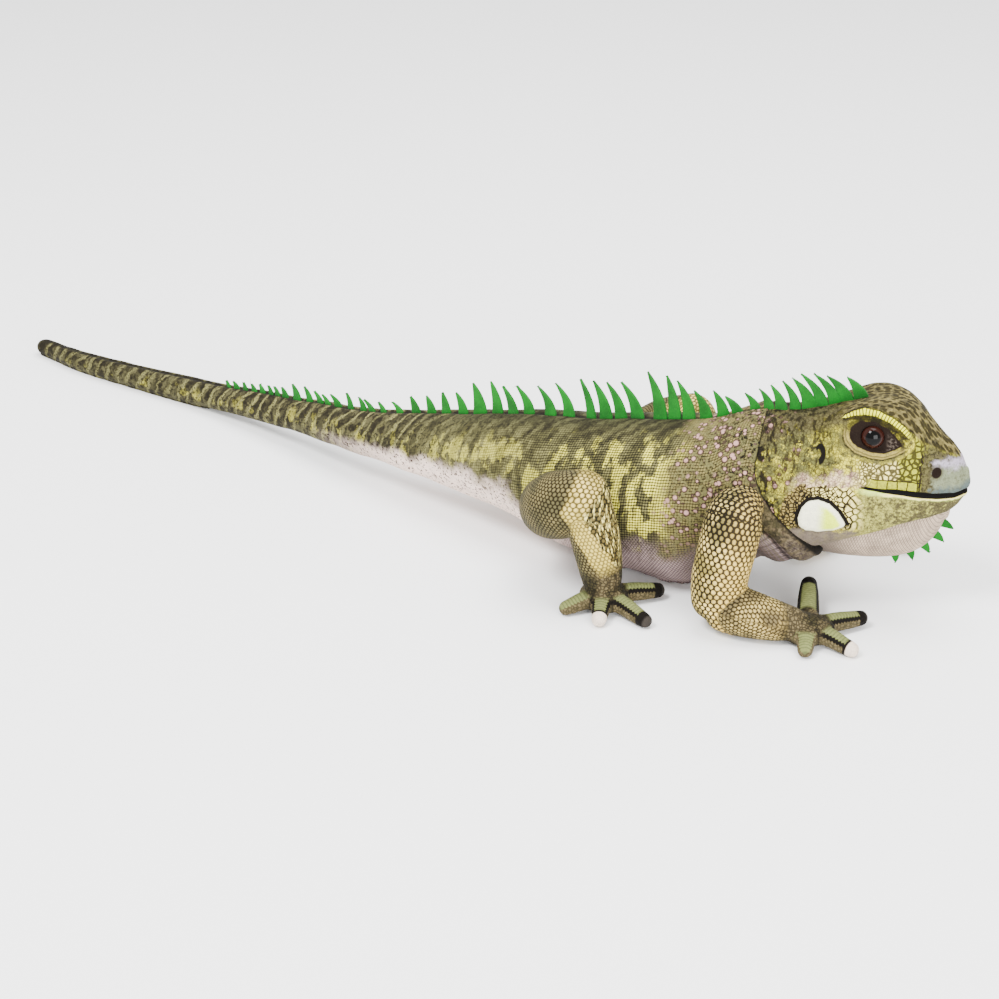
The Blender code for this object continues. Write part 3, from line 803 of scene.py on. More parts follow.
    # Upper lip: a row of big yellow-green scales, parted by dark lines.
    part = total(add, t, (fine, 2.4))
    part = bands(add, part, LIP_SCALE, 0.09, 0.03)
    part = masks(add, part, [t, 66, 80, 0.1, 1.0])
    row = coat(add, colours.scale_yellow, colours.cheek_shade, [speck, 0.45, 0.65, 0.0, 0.4])
    top = add("MapRange", total(add, lip, (fine, 1.6)), 7.9, 8.5, **SMOOTH)
    row = coat(add, row, colours.scale_line, add("Math", part, top, operation="MAXIMUM"))
    ground = coat(add, ground, row, (total(add, lip, (fine, 1.6)), 9.2, 8.8), (lip, 0.2, 0.8), (t, 64, 70))

    # Snout: lilac-white above, grey-green beside the nostril and teal over the mouth.
    edge = total(add, t, (fine, 5))
    patch = total(add, edge, (fine, 9))
    above = total(add, z, (fine, 9))
    mist = total(add, z, (fine, 12))
    muzzle = coat(add, colours.snout, colours.muzzle, (mist, 121, 114))
    teal = total(add, lip, (fine, -9))
    muzzle = coat(add, muzzle, colours.teal, (teal, 4, -1))
    muzzle = coat(add, muzzle, colours.jaw_dark, [broad, 0.45, 0.62, 0.0, 0.45], [speck, 0.45, 0.6])
    muzzle = coat(add, muzzle, colours.crown, [speck, 0.54, 0.68, 0.0, 0.5])
    olive = coat(add, colours.crown, colours.cheek_shade, (fine, 0.42, 0.6))
    olive = coat(add, olive, colours.crown_dark, [speck, 0.45, 0.6, 0.0, 0.75])
    ground = coat(add, ground, olive, (edge, 101.5, 103), (lip, 0, 1), add("Math", 1.0, crown, **MINUS))
    ground = coat(add, ground, muzzle, (patch, 112, 115), (above, 124, 120), (lip, 0, 1))
    crack = add("Math", add("Math", edge, 101.6, **MINUS), **SIZE)
    ground = coat(add, ground, colours.scale_line, (crack, 0.9, 0.3), (z, 127, 120), (lip, 0, 2))

    # Lower lip and jaw: pale green-white, then yellow-olive with specks, darker in front.
    mottle = total(add, add("Math", fine, 0.5, **TIMES), (speck, 0.5), (t, 0.003))
    chin = coat(add, colours.jaw_dark, colours.jaw, (mottle, 0.84, 0.66))
    chin = coat(add, chin, colours.scale_line, (small, 0.12, 0.03, 0.0, 0.5))
    wet = total(add, lip, (fine, 5))
    blush = total(add, add("MapRange", wet, -2.8, 0.8, 0.0, 0.75, **SMOOTH), (speck, 0.3))
    chin = coat(add, chin, colours.lip, [blush, 0.2, 0.9])
    ground = coat(add, ground, chin, (lip, -0.2, -0.8), (t, 56, 68))
    # A thin white line under the mouth: the lower lip's pale edge and a painted highlight on it.
    shine = add("Math", total(add, lip, (fine, 2.6)), 1.4, **PLUS)
    ground = coat(
        add, ground, colours.scale_white, (add("Math", shine, **SIZE), 1.1, 0.5, 0.0, 0.9), (t, 72, 80)
    )

    # Brow: a row of cream scales over the eye, with a dark line above it and a wider band of painted shade
    # below it.
    rib = bands(add, brow_run, BROW_SCALE, 0.24, 0.1)
    ridge = coat(add, colours.brow, colours.crown_dark, rib, 0.9)
    ends = masks(add, (t, 93, 87), (side, 15.5, 18), (t, 45, 47.5))
    shade = add("Math", add("Math", brow, 0.5, **PLUS), **SIZE)
    ground = coat(add, ground, colours.crown_dark, (shade, 2.6, 1.6, 0.0, 0.9), ends)
    ground = coat(add, ground, ridge, (add("Math", brow, **SIZE), 1.05, 0.8), ends)

    # Eyelids: a smooth cream lid and a thin outer fold round a dark almond, with painted glints at its
    # front.
    lid_edge = total(add, add("Math", lid, 0.3, **MINUS), (fine, 1.5))
    fold = add("Math", add("Math", lid_edge, 5.0, **MINUS), **SIZE)
    fold = add("MapRange", fold, 0.9, 0.3, 0.0, 0.9, **SMOOTH)
    rings = coat(add, colours.lid, colours.cheek_shade, (lid_edge, 4.0, 5.2))
    crease_line = add("Math", add("Math", lid_edge, 3.0, **MINUS), **SIZE)
    crease_line = add("MapRange", crease_line, 0.6, 0.2, 0.0, 0.6, **SMOOTH)
    rings = coat(add, rings, colours.crown_dark, add("Math", fold, crease_line, operation="MAXIMUM"))
    rim = add("Math", add("Math", lid_edge, 8.4, **MINUS), **SIZE)
    rings = coat(add, rings, colours.crown_dark, (rim, 1.2, 0.3, 0.0, 0.7))
    rings = coat(add, rings, colours.cheek_shade, [speck, 0.46, 0.62, 0.0, 0.6])
    ground = coat(add, ground, rings, [lid_edge, 9.4, 5.0, 0.0, 1.0], lid_low)
    # Painted shade over the upper lid, under the brow.
    over = add("Math", 1.0, lid_low, **MINUS)
    ground = coat(add, ground, colours.crown_dark, over, (lid_edge, 4.6, 1.0, 0.0, 0.75))
    # The almond is printed dark brown; speckled painted glints lie at its front.
    pit_print_and_glint = coat(
        add, colours.socket, colours.socket_light, (t, 75, 79), (lid, -1.0, -2.0), (speck, 0.42, 0.6)
    )
    ground = coat(add, ground, pit_print_and_glint, (total(add, lid, (fine, 1.2)), 1.0, 0.2))

    # Brownish pink strip along the head's lower edge, under the shield.
    strip = total(add, z, (fine, 6))
    flesh = coat(add, colours.throat_rear, colours.throat_shade, (speck, 0.42, 0.6))
    ground = coat(add, ground, flesh, (strip, 72, 68.5, 0.0, 0.9), (t, 66, 56))

    # Shield under the ear: white, partly yellow, with a thick black outline over its top.
    ground = coat(add, ground, colours.outline, (shield, 2.9, 2.2), (z, 66, 72))
    stain = add("MapRange", total(add, broad, (fine, 0.5)), 0.64, 0.76, 0.0, 0.95, **SMOOTH)
    plate = coat(add, colours.shield, colours.shield_stain, stain, (t, 34, 42), (shield, -1.0, -3.5))
    ground = coat(add, ground, plate, (shield, 0.4, -0.2))

    # Ear comma, nostril, mouth line, and painted shade in the crease.
    ground = coat(add, ground, colours.outline, (ear, 1.2, 0.7))
    ground = coat(add, ground, colours.crown, (nostril, 1.6, 1.1, 0.0, 0.5))
    ground = coat(add, ground, colours.socket, (nostril, 1.1, 0.85))
    thick = add("MapRange", t, 60, 84, 0.3, 2.3)
    line = add("Math", add("Math", lip, **SIZE), thick, **MINUS)
    ground = coat(add, ground, colours.mouth, (line, 0.35, -0.2), (t, 59, 62))
    # Painted shade in the crease to the neck, deepest low down.
    ground = coat(add, ground, colours.fold_dark, (crease, 2.5, 0.0), (z, 100, 84, 0.25, 1.0))
    relief = add("Math", add("Math", small, 0.4, operation="MINIMUM"), 0.8, **TIMES)
    plush(add, ground, relief, 0.4)
    return made


def throat_material(colours):
    """Printed short-pile plush of the throat pouch: pinkish grey under a slanting net, with painted shade
    towards its rear.
    """
    made, add = new_material("printed_plush_throat")
    place = add("TexCoord").outputs["Object"]
    t, round_it, _ = reading(add, "cloth")
    fine = add("TexNoise", place, METRE / 9, 3.0, 0.6)
    cross = total(add, t, (round_it, 0.8))
    other = total(add, t, (round_it, -0.45))
    net = masks(add, *(threads(add, way, THROAT_PITCH) for way in (cross, other)))
    # Browner and darker towards the rear, in part painted shade.
    rear = add("MapRange", total(add, t, (fine, 14)), 70, 44, **SMOOTH)
    ground = coat(add, colours.throat, colours.throat_rear, rear)
    ground = coat(add, ground, colours.throat_shade, [fine, 0.35, 0.7, 0.0, 0.5])
    line = coat(add, colours.throat_net, colours.throat_shade, rear)
    net = add("Math", add("Math", 1.0, net, **MINUS), 0.6, **TIMES)
    ground = coat(add, ground, line, net)
    # Painted shade where the pouch's rear tucks into the collar.
    ground = coat(add, ground, colours.fold_dark, (total(add, t, (fine, 6)), 38, 28))
    plush(add, ground, add("Math", net, -0.5, **TIMES), 0.3)
    return made


# Where the leg's line stands, and the height of the knee, in metres.
LEG_LINE = 0.0735
KNEE = 0.072


def limb_material(colours):
    """Printed short-pile plush of the limbs: rows of outlined scales, plain ribbed toes."""
    made, add = new_material("printed_plush_limbs")
    place = add("TexCoord").outputs["Object"]
    cloth = add("Attribute", attribute_name="cloth").outputs["Vector"]
    along = add("SeparateXYZ", cloth).outputs[0]
    lower, palm, toe = reading(add, "sewn")
    # Millimetres from a toe's tip; 0 on top of the toe, 1 at its sides and 2 below.
    from_tip, turn, white = reading(add, "digit")
    # 1 on a leg; 1 facing forward; painted shade, 1 between two toes.
    hind, front, toe_gap_shade = reading(add, "limb")
    broad = add("TexNoise", place, METRE / 14, 3.0, 0.55)
    fine = add("TexNoise", place, METRE / 3.5, 3.0, 0.6)
    wobble = add(
        "VectorMath", add("TexNoise", place, METRE / 9).outputs["Color"], (-0.5, -0.5, -0.5), **PLUS
    )
    bent = add("VectorMath", wobble, (2.2, 2.2, 0), cloth, **TIMES_PLUS)
    turned = add("SeparateXYZ", bent)
    turned = add("CombineXYZ", turned.outputs["Y"], turned.outputs["X"])

    # Arm: large beads above the elbow and small ones below it. Leg: small beads throughout.
    big = scale_rows(add, turned, *LARGE_BEAD)
    little = scale_rows(add, turned, *SMALL_BEAD)
    dusk = add("MapRange", total(add, along, (broad, 24)), 52, 20, **SMOOTH)
    dusk = masks(add, dusk, add("Math", 1.0, hind, **MINUS), add("Math", 1.0, lower, **MINUS))
    big = total(add, big, (dusk, 0.26))
    gap_big = add(
        "Math", add("MapRange", big, 0.4, 1.7, 0.0, 0.3),
        add("MapRange", big, 1.05, 1.8, 0.0, 0.7, **SMOOTH), **PLUS
    )
    gap_little = add(
        "Math", add("MapRange", little, 0.3, 1.3, 0.0, 0.3),
        add("MapRange", little, 0.75, 1.4, 0.0, 0.7, **SMOOTH), **PLUS
    )
    smaller = add("Math", lower, hind, operation="MAXIMUM")
    gap = add("Mix", smaller, gap_big, gap_little, **NUMBER)
    scale = coat(add, colours.scale_shade, colours.scale_cream, (broad, 0.4, 0.6))
    peach = add("MapRange", front, 0.0, 0.7, 0.0, 0.75, **SMOOTH)
    scale = coat(add, scale, colours.scale_peach, peach)
    scale = coat(add, scale, colours.scale_olive, dusk, 0.4)
    scale = coat(
        add, scale, colours.palm, lower, add("Math", 1.0, hind, **MINUS), [broad, 0.36, 0.6, 0.95, 0.5]
    )
    # How far ahead of the leg's line a point lies, in metres. The line runs down the outer front of the
    # leg, leans with the distance from the toy's middle and is bent at the knee.
    ahead, sideways, rise = add("SeparateXYZ", place).outputs
    beyond = total(add, LEG_LINE, (add("Math", sideways, **SIZE), -0.53), (ahead, 0.85))
    bend = add("Math", add("Math", rise, KNEE, **MINUS), **SIZE)
    beyond = total(add, beyond, (bend, -0.65), (add("Math", broad, 0.5, **MINUS), 12 * MM))
    beyond = add("Math", beyond, add("MapRange", rise, 0.07, 0.088, 1.0, 0.65), **TIMES)
    scale = coat(add, scale, colours.scale_olive, (beyond, -3 * MM, -9 * MM, 0.0, 0.85), hind)
    edge = coat(add, colours.scale_edge, colours.scale_tan, peach, [hind, 0.0, 1.0, 0.9, 0.15])
    edge = coat(add, edge, colours.outline, dusk, 0.6)
    ground = coat(add, scale, edge, gap)

    # Leg: a cream stripe bent at the knee runs down to the front of the ankle, with dark streaks ahead.
    streak = add("VectorMath", cloth, (1 / 7, 1 / 1.8, 0), **TIMES)
    streak = add("TexNoise", streak, 1.0, 2.0, 0.5)
    streaks = coat(add, colours.knee_dark, colours.scale_white, (streak, 0.52, 0.6))
    streaks = coat(add, streaks, colours.knee_dark, gap_little, 0.6)
    ground = coat(add, ground, streaks, (beyond, 5.5 * MM, 9 * MM, 0.0, 0.85), hind)
    shin = coat(add, colours.shin, colours.shin_edge, gap_little, 0.75)
    ground = coat(
        add, ground, shin, (add("Math", beyond, **SIZE), 9 * MM, 5 * MM), [rise, 0.085, 0.06, 0.3, 0.85],
        hind
    )

    # Palms: brown-olive with a fine net, with painted shade between the toes.
    cells = add("TexVoronoi", place, METRE / 2.4, None, None, None, 0.6, **TO_EDGE)
    net = add("MapRange", cells, 0.25, 0.05, 0.0, 0.75, **SMOOTH)
    pad = coat(add, colours.palm_dark, colours.palm, (broad, 0.42, 0.6))
    pad = coat(add, pad, colours.outline, net)
    pad = coat(add, pad, colours.outline, toe_gap_shade)
    ground = coat(add, ground, pad, palm)

    # Toes: olive above with cross ribs, tan net below, a black zigzag seam and a dark or white tip.
    rib = bands(add, from_tip, TOE_RIB, 0.3, 0.0)
    upper = coat(add, colours.toe, colours.toe_rib, rib, 0.6)
    under = coat(add, colours.palm, colours.palm_dark, net)
    zigzag = add("Math", add("Math", from_tip, 1 / TOE_STITCH, **TIMES), 0.5, operation="PINGPONG")
    zigzag = total(add, turn, (zigzag, 0.22))
    toe_print = coat(add, upper, under, (zigzag, 0.62, 0.68))
    stitch = add("Math", add("Math", zigzag, 0.7, **MINUS), **SIZE)
    plain = add("MapRange", white, -0.6, -0.2, **SMOOTH)
    toe_print = coat(add, toe_print, colours.outline, (stitch, 0.2, 0.12), plain)
    toe_print = coat(add, toe_print, colours.outline, (total(add, from_tip, (fine, 1.6)), 8.6, 7.6), plain)
    cap_at = add("Math", from_tip, add("MapRange", white, 0.0, 1.0, -3.0, 5.2), **MINUS)
    toe_print = coat(add, toe_print, colours.claw, (cap_at, 0.6, -0.4))
    toe_print = coat(
        add, toe_print, colours.claw_grey, (from_tip, 2.6, 0.6, 0.0, 0.6), (white, 0.3, 0.1), plain
    )
    # Painted shade between the toes.
    toe_print = coat(add, toe_print, colours.outline, toe_gap_shade)
    ground = coat(add, ground, toe_print, toe)
    plush(add, ground, add("Math", gap, -0.9, **TIMES), 0.45)
    return made


def felt_material(colours):
    """Wool-blend felt, pressed and die-cut: even green with tiny matted fibres."""
    made, add = new_material("pressed_green_felt")
    place = add("TexCoord").outputs["Object"]
    fibre = add("TexNoise", place, METRE / 0.8, 3.0, 0.7)
    cast = add("TexNoise", place, METRE / 14, 2.0, 0.5)
    ground = coat(add, colours.felt_dark, colours.felt, (cast, 0.35, 0.65))
    ground = coat(add, ground, colours.felt_light, [fibre, 0.5, 0.75, 0.0, 0.4])
    surface(add, ground, FELT, add("Bump", 0.5, 0.2 * MM, None, fibre))
    return made


# Where the pupil fades into the iris and the iris into its dark edge, from the middle out.
PUPIL_EDGE = (4.7 * MM, 5.7 * MM)
IRIS_EDGE = (7.3 * MM, 7.9 * MM)


def eye_way(side):
    """The way an eye looks: outwards, a little forward and a little up."""
    return (head_world(0.14, side, 0.2) - head_world(0, 0, 0)).normalized()


def eye_middle(label):
    """The middle of an eye's ball in the frame, in metres."""
    low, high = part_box("eye_" + label)
    return (Vector(low) + Vector(high)) / 2


def eye_material(colours, label, way):
    """Moulded acrylic safety eye: black pupil, dark brown iris and a clear glossy face."""
    made, add = new_material("moulded_acrylic_eye_" + label)
    place = add("TexCoord").outputs["Object"]
    reach = add("VectorMath", place, tuple(-eye_middle(label)), **PLUS)
    ahead = add("VectorMath", reach, tuple(way), operation="DOT_PRODUCT")
    flat = add("VectorMath", tuple(way), None, operation="SCALE")
    made.node_tree.links.new(ahead.outputs["Value"], flat.inputs["Scale"])
    away = add("VectorMath", reach, flat, **MINUS)
    away = add("VectorMath", away, operation="LENGTH")
    grain = add("TexNoise", place, METRE / 1.4, 2.0, 0.5)
    away = total(add, away, (grain, 0.5 * MM))
    ground = coat(add, colours.pupil, colours.iris, (away, *PUPIL_EDGE))
    ground = coat(add, ground, colours.pupil, (away, *IRIS_EDGE))
    surface(add, ground, ACRYLIC)
    return made


def floor_material(colours):
    """Seamless studio paper, matt and nearly white."""
    made, add = new_material("studio_paper")
    place = add("TexCoord").outputs["Object"]
    grain = add("TexNoise", place, METRE / 25, 2.0, 0.5)
    surface(add, colours.paper, PAPER, add("Bump", 0.05, 0.5 * MM, None, grain))
    return made


# Skins ----------------------------------------------------------------------------------------

# Rows of the body's skin from the collar to the tail's tip: the rolled rim first, then the neck as far
# as HIP, and TIP_ROWS for the dome at the end.
BODY_ROWS = 340
BODY_COLUMNS = 128
ROLL_ROWS = 12
NECK_ROWS = 60
TIP_ROWS = 6
HIP = 20.0
TIP_LENGTH = 9.5
NECK_RADIUS = 46
# The neck's rim doesn't start ahead of here, where the torso's table ends.
NECK_START = 103.0
# What the skin's hidden end, inside the neck, carries as its place on the cloth and fold.
HIDDEN_END = ((-60, 40, 0.5), (-20, 0, 0))


def roll_point(row, v, rim, out):
    """A point of the collar's rolled rim: from inside the neck, forward and round to the outside."""
    if row == 0:
        return head_world(ROLL_END, 0, HEAD_MIDDLE)
    forward = head_world(1, 0, 0) - head_world(0, 0, 0)
    low = step(-math.cos(2 * math.pi * v), 0.2, 0.9)
    radius = ROLL_RADIUS + ROLL_GAIN * low
    if row == 1:
        return rim - out * radius * 4 - forward * ROLL_DEPTH
    turn = math.pi * ((row - 2) / (ROLL_ROWS - 2) - 0.5)
    return rim + forward * radius * math.cos(turn) + out * radius * (math.sin(turn) - 1)


def tail_place(row):
    """x of a row behind the hip, and the size of its ring, which closes in a dome at the tip."""
    last = BODY_ROWS - TIP_ROWS
    share = (row - ROLL_ROWS - NECK_ROWS) / (last - ROLL_ROWS - NECK_ROWS)
    if share < 1:
        return HIP + (TORSO[-1][0] - HIP) * share**0.92, 1.0
    dome = (row - last) / TIP_ROWS
    size = math.cos(dome * math.pi / 2) if row < BODY_ROWS else 0
    return TORSO[-1][0] - TIP_LENGTH * math.sin(dome * math.pi / 2), size


def body_proud(point, x, behind, down, from_back):
    """How far the stuffing pushes a point of the body outward, with the seam and the collar's groove."""
    proud = 0.0
    stuffed = step(x, -600, -150)
    proud += ruck(point, 34, 3.0) * 1.3 * stuffed + ruck(point, 13, 7.0) * 0.45 * stuffed
    proud += ruck(point, 16, 5.0) * 0.5 * (1 - stuffed)
    proud -= 1.3 * hump(down, 2.4) * step(x, -655, -560)
    if x > HIP:
        proud -= 1.6 * hump(behind - 11, 3.0) * step(from_back, 0.2, 0.3)
        ripple = math.sin(behind * 0.42 + 2.2 * ruck(point, 30, 9.0))
        proud += 0.8 * ripple * hump(behind - 20, 16) * step(from_back, 0.06, 0.2)
    return proud


def body_point(u, v):
    """A point of the body's skin, with its place on the cloth and its distance to the collar."""
    row = round(u * BODY_ROWS)
    rim, out = collar_rim(v)
    from_back = min(v, 1 - v)
    if row == 0:
        return roll_point(row, v, rim, out), *HIDDEN_END
    if row <= ROLL_ROWS:
        down = from_back * 2 * math.pi * NECK_RADIUS
        return roll_point(row, v, rim, out), (-rim.x, down, from_back * 2), (-8 + 8 * row / ROLL_ROWS, 0, 0)
    start = min(rim.x, NECK_START)
    if row <= ROLL_ROWS + NECK_ROWS:
        share = (row - ROLL_ROWS) / NECK_ROWS
        x = start + (HIP - start) * share
        behind = share * (start - HIP)
        point, way = torso_at(x, v)
        ahead, _ = torso_at(start, v)
        point += (rim - ahead) * (1 - step(behind, 0, NECK_BLEND))
    else:
        x, size = tail_place(row)
        behind = start - x
        point, way = torso_at(x, v)
        if x <= TORSO[-1][0]:
            middle = Vector((x, *blend(TORSO, x)[:2]))
            point = middle + (point - middle) * size
            point.x = x
    half_height, half_width = blend(TORSO, round(x, 3))[2:4]
    down = from_back * (math.pi * (half_height + half_width))
    point += way * body_proud(point, x, behind, down, from_back)
    if point.z < PRESSED:
        point.z = FLOOR_GAP
    return point, (-x, down, from_back * 2), (behind, 0, 0)


# Rows and columns of the head's skin, rows of the dome at each end and how far the dome bulges, t of the
# rear row, how the rows crowd forward, and t where the snout's tip starts.
HEAD_ROWS = 176
HEAD_COLUMNS = 144
HEAD_DOME_ROWS = 8
HEAD_DOME = 2.6
HEAD_START = -30
HEAD_CROWD = 1.12
SNOUT_TIP = 118
# The same for the throat pouch, whose domes bulge behind and in front; how far its top is sunk into the
# jaw, and the length of cloth from there round to its lower edge.
THROAT_ROWS = 90
THROAT_COLUMNS = 72
THROAT_DOME_ROWS = 7
THROAT_DOMES = (-4, 3)
THROAT_SUNK = 4
THROAT_ROUND = 45


def ear_reading(t, z):
    """About 0 on the ear's dark comma and larger off it. The comma is open low behind."""
    away = math.hypot((t - EAR[0] + 0.6) / 2.5, (z - EAR[1]) / 4.3)
    hook = abs(away - 1) * 1.5
    hook += step(EAR[0] - 0.6 - t, -0.4, 1.2) * step(EAR[1] + 2.5 - z, -1, 1)
    return hook


def head_reading(t, side, z, v):
    """The attributes of a point of the head's skin, and how far its features move it outward."""
    crown_z, _, _, cheek_width, _, _, _, under_z = blend(HEAD, round(t, 3))
    arc = min(v, 1 - v) * math.pi * (cheek_width + (crown_z - under_z) / 2)
    across = abs(side)
    away, _, over = line_reading(MOUTH, t, z)
    lip = away * over if t > MOUTH[0][0] else (away if z > MOUTH[0][1] else -away)
    brow_away, brow_run, brow_over = line_reading(BROW, t, z)
    brow = brow_away * brow_over / (0.9 + 0.85 * step(brow_run, 0, 14) - 0.3 * step(brow_run, 30, 50))
    # The left brow starts further forward than the right one, and there is none over the crown.
    brow += 5 * max(step(side, 0, 4) * step(t, 76, 64), step(across, 14, 8))
    lid = inside(SOCKET, t, z)[0]
    lid_low = step(132 - 0.3 * (t - 68) - z, -3, 3)
    shield, shield_run = inside(SHIELD, t, z)
    nostril = math.hypot((t - NOSTRIL[0]) / 3.3, (z - NOSTRIL[1]) / 4.0)
    crease = t - blend(CREASE, round(z, 2))[0]
    front = z - 127.5 + 0.5 * (t - 101)
    crown = step(brow, 1.0, 1.6) * step(t, 42, 52)
    crown = max(crown * step(t, 104, 98), step(front, -1, 1.5) * step(t, 96, 100))
    flank = step(across, 6, 12)
    proud = 1.5 * hump(brow, 1.5) * flank * step(brow_run, 0, 8)
    proud -= 1.0 * hump(brow + 2.4, 1.0) * flank * step(t, 50, 56) * step(t, 100, 92)
    # The socket, and the lower lid's rings.
    proud -= 3.0 * step(-lid, -0.6, 3.0)
    proud += 1.3 * hump(lid - 1.6, 1.9) * lid_low
    proud -= 0.7 * hump(lid - 4.6, 0.7) * lid_low
    proud += 0.6 * hump(lid - 6.0, 1.0) * lid_low
    # The mouth line between two lips, then the shield, the nostril, the ear and the crease.
    in_mouth = step(t, 58, 66)
    proud -= 2.1 * hump(lip, 1.3) * in_mouth
    proud += 1.3 * hump(lip - 3.6, 2.6) * in_mouth
    proud += 0.4 * hump(lip + 3.2, 2.0) * in_mouth
    proud += 1.5 * step(-shield, -0.8, 2.2)
    proud -= 0.9 * hump(shield - 1.6, 1.2)
    proud -= 2.0 * hump(nostril, 0.8)
    proud += 0.8 * hump(nostril - 1.4, 0.45)
    proud -= 0.9 * hump(math.hypot(t - EAR[0], z - EAR[1]) / 3.0, 1.0)
    proud -= 1.8 * step(crease, 3, -3)
    proud += ruck((t, side, z), 22, 1.0) * 0.8 + ruck((t, side, z), 8, 2.0) * 0.4
    readings = (
        (t, across, z),
        (lip, brow, brow_run),
        (lid, lid_low, crown),
        (shield, shield_run, ear_reading(t, z)),
        (nostril, crease, arc),
    )
    return proud, readings


def head_point(u, v):
    """A point of the head's skin with its attributes."""
    row = round(u * HEAD_ROWS)
    edge = min(row, HEAD_ROWS - row)
    dome = min(edge / HEAD_DOME_ROWS, 1)
    along = min(max((row - HEAD_DOME_ROWS) / (HEAD_ROWS - 2 * HEAD_DOME_ROWS), 0), 1)
    t = HEAD_START + (HEAD[-1][0] - HEAD_START) * (1 - (1 - along) ** HEAD_CROWD)
    side, z = head_section(t, v)
    crown, *_, under = blend(HEAD, round(t, 3))
    middle = (crown + under) / 2
    size = math.sin(dome * math.pi / 2)
    if size < 1:
        t += (1 if along > 0.5 else -1) * HEAD_DOME * math.cos(dome * math.pi / 2)
    behind = blend(CREASE, round(z, 2))[0] - t
    size *= 1 - 0.2 * step(behind, 1, 20)
    side, z = side * size, middle + (z - middle) * size
    proud, readings = head_reading(t, side, z, v)
    out = Vector((side, z - middle))
    if out.length > TINY:
        out = out.normalized() * proud * min(size * 1.4, 1)
    if t > SNOUT_TIP:
        t += proud * 0.5 * step(t, SNOUT_TIP, SNOUT_TIP + 10)
    return head_world(t, side + out.x, z + out.y), *readings


def throat_point(u, v):
    """A point of the throat pouch, with its place on the cloth."""
    row = round(u * THROAT_ROWS)
    dome = min(min(row, THROAT_ROWS - row) / THROAT_DOME_ROWS, 1)
    along = min(max((row - THROAT_DOME_ROWS) / (THROAT_ROWS - 2 * THROAT_DOME_ROWS), 0), 1)
    t = THROAT[0][0] + (THROAT[-1][0] - THROAT[0][0]) * along
    top, bottom, half_width = blend(THROAT, round(t, 3))
    size = math.sin(dome * math.pi / 2)
    if size < 1:
        t += THROAT_DOMES[along > 0.5] * math.cos(dome * math.pi / 2)
    angle = 2 * math.pi * v
    low = (1 - math.cos(angle)) / 2
    side = half_width * (1 - 0.35 * low**2) * math.sin(angle)
    rise = (top + THROAT_SUNK - bottom) / 2 * math.cos(angle)
    proud = 1 + 0.012 * ruck((t, side, rise), 16, 4.0)
    z = (top + THROAT_SUNK + bottom) / 2 + rise * size * proud
    return head_world(t, side * size * proud, z), (t, min(v, 1 - v) * 2 * THROAT_ROUND, z)


# Stretches of a limb's skin, rows along a sleeve and along a toe, and the size of the skin's faces.
UPPER, LOWER, TOE = range(3)
SLEEVE_ROWS = 26
TOE_ROWS = 14
LIMB_GRAIN = 1.25
# How far from the palm's middle the toes start and are plain toe, and where the palm's print ends and
# is full.
TOE_START = 14
TOE_FULL = 17
PALM_FADE = (23, 18)
# How dark the painted shade in the valleys between toes is, how wide, and where from the palm's middle it
# starts and ends.
VALLEY_DEPTH = 0.85
VALLEY_WIDTH = 2.4
VALLEY_START = (7, 13)
VALLEY_END = (30, 22)
# The middle and radius of the ball that a left thigh is taken for.
THIGH_MIDDLE = (-44, 68, 60)
THIGH_RADIUS = 31


def limb_frames(route, rows):
    """Evenly spread places down a limb: point, across and up vectors, and radius."""
    table = tuple((i, *row) for i, row in enumerate(route))
    spots = [blend(table, (len(route) - 1) * i / rows) for i in range(rows + 1)]
    frames = []
    across = None
    for i, spot in enumerate(spots):
        low, high = spots[max(i - 1, 0)], spots[min(i + 1, rows)]
        ahead = (Vector(high[:3]) - Vector(low[:3])).normalized()
        if across is None:
            across = ahead.cross(Vector((1, 0, 0)))
        across = (across - ahead * across.dot(ahead)).normalized()
        frames.append((Vector(spot[:3]), ahead, across, ahead.cross(across), spot[3]))
    return frames


def sleeve(frames, columns=28, domes=5):
    """A tube down a limb's frames with a dome at each end, pressed flat where it meets the floor."""
    rows = len(frames) - 1

    def place(u, v):
        """A point of the tube at u down it and v round it."""
        row = round(u * (rows + 2 * domes))
        middle, ahead, across, up, radius = frames[min(max(row - domes, 0), rows)]
        lean = 0.0
        if row < domes:
            lean = -(domes - row) / domes
        elif row > rows + domes:
            lean = (row - rows - domes) / domes
        turn = lean * math.pi / 2
        ring = 0 if abs(lean) == 1 else radius * math.cos(turn)
        angle = 2 * math.pi * v
        point = middle + ahead * radius * 0.8 * math.sin(turn)
        point += (across * math.sin(angle) + up * math.cos(angle)) * ring
        point.z = max(point.z, FLOOR_GAP)
        return (point,)

    return bent_grid(rows + 2 * domes, columns, place)


def palm(place):
    """A palm: a flattened ball turned the way that the hand or foot points."""
    x, y, heading = place
    bm = bmesh.new()
    bmesh.ops.create_uvsphere(bm, u_segments=32, v_segments=18, radius=1)
    turn = Matrix.Rotation(math.radians(heading), 4, "Z")
    bmesh.ops.scale(bm, verts=bm.verts, vec=Vector(PALM) * MM)
    bmesh.ops.transform(bm, verts=bm.verts, matrix=Matrix.Translation(Vector((x, y, PALM_Z)) * MM) @ turn)
    for vert in bm.verts:
        vert.co.z = max(vert.co.z, FLOOR_GAP * MM)
    return bm


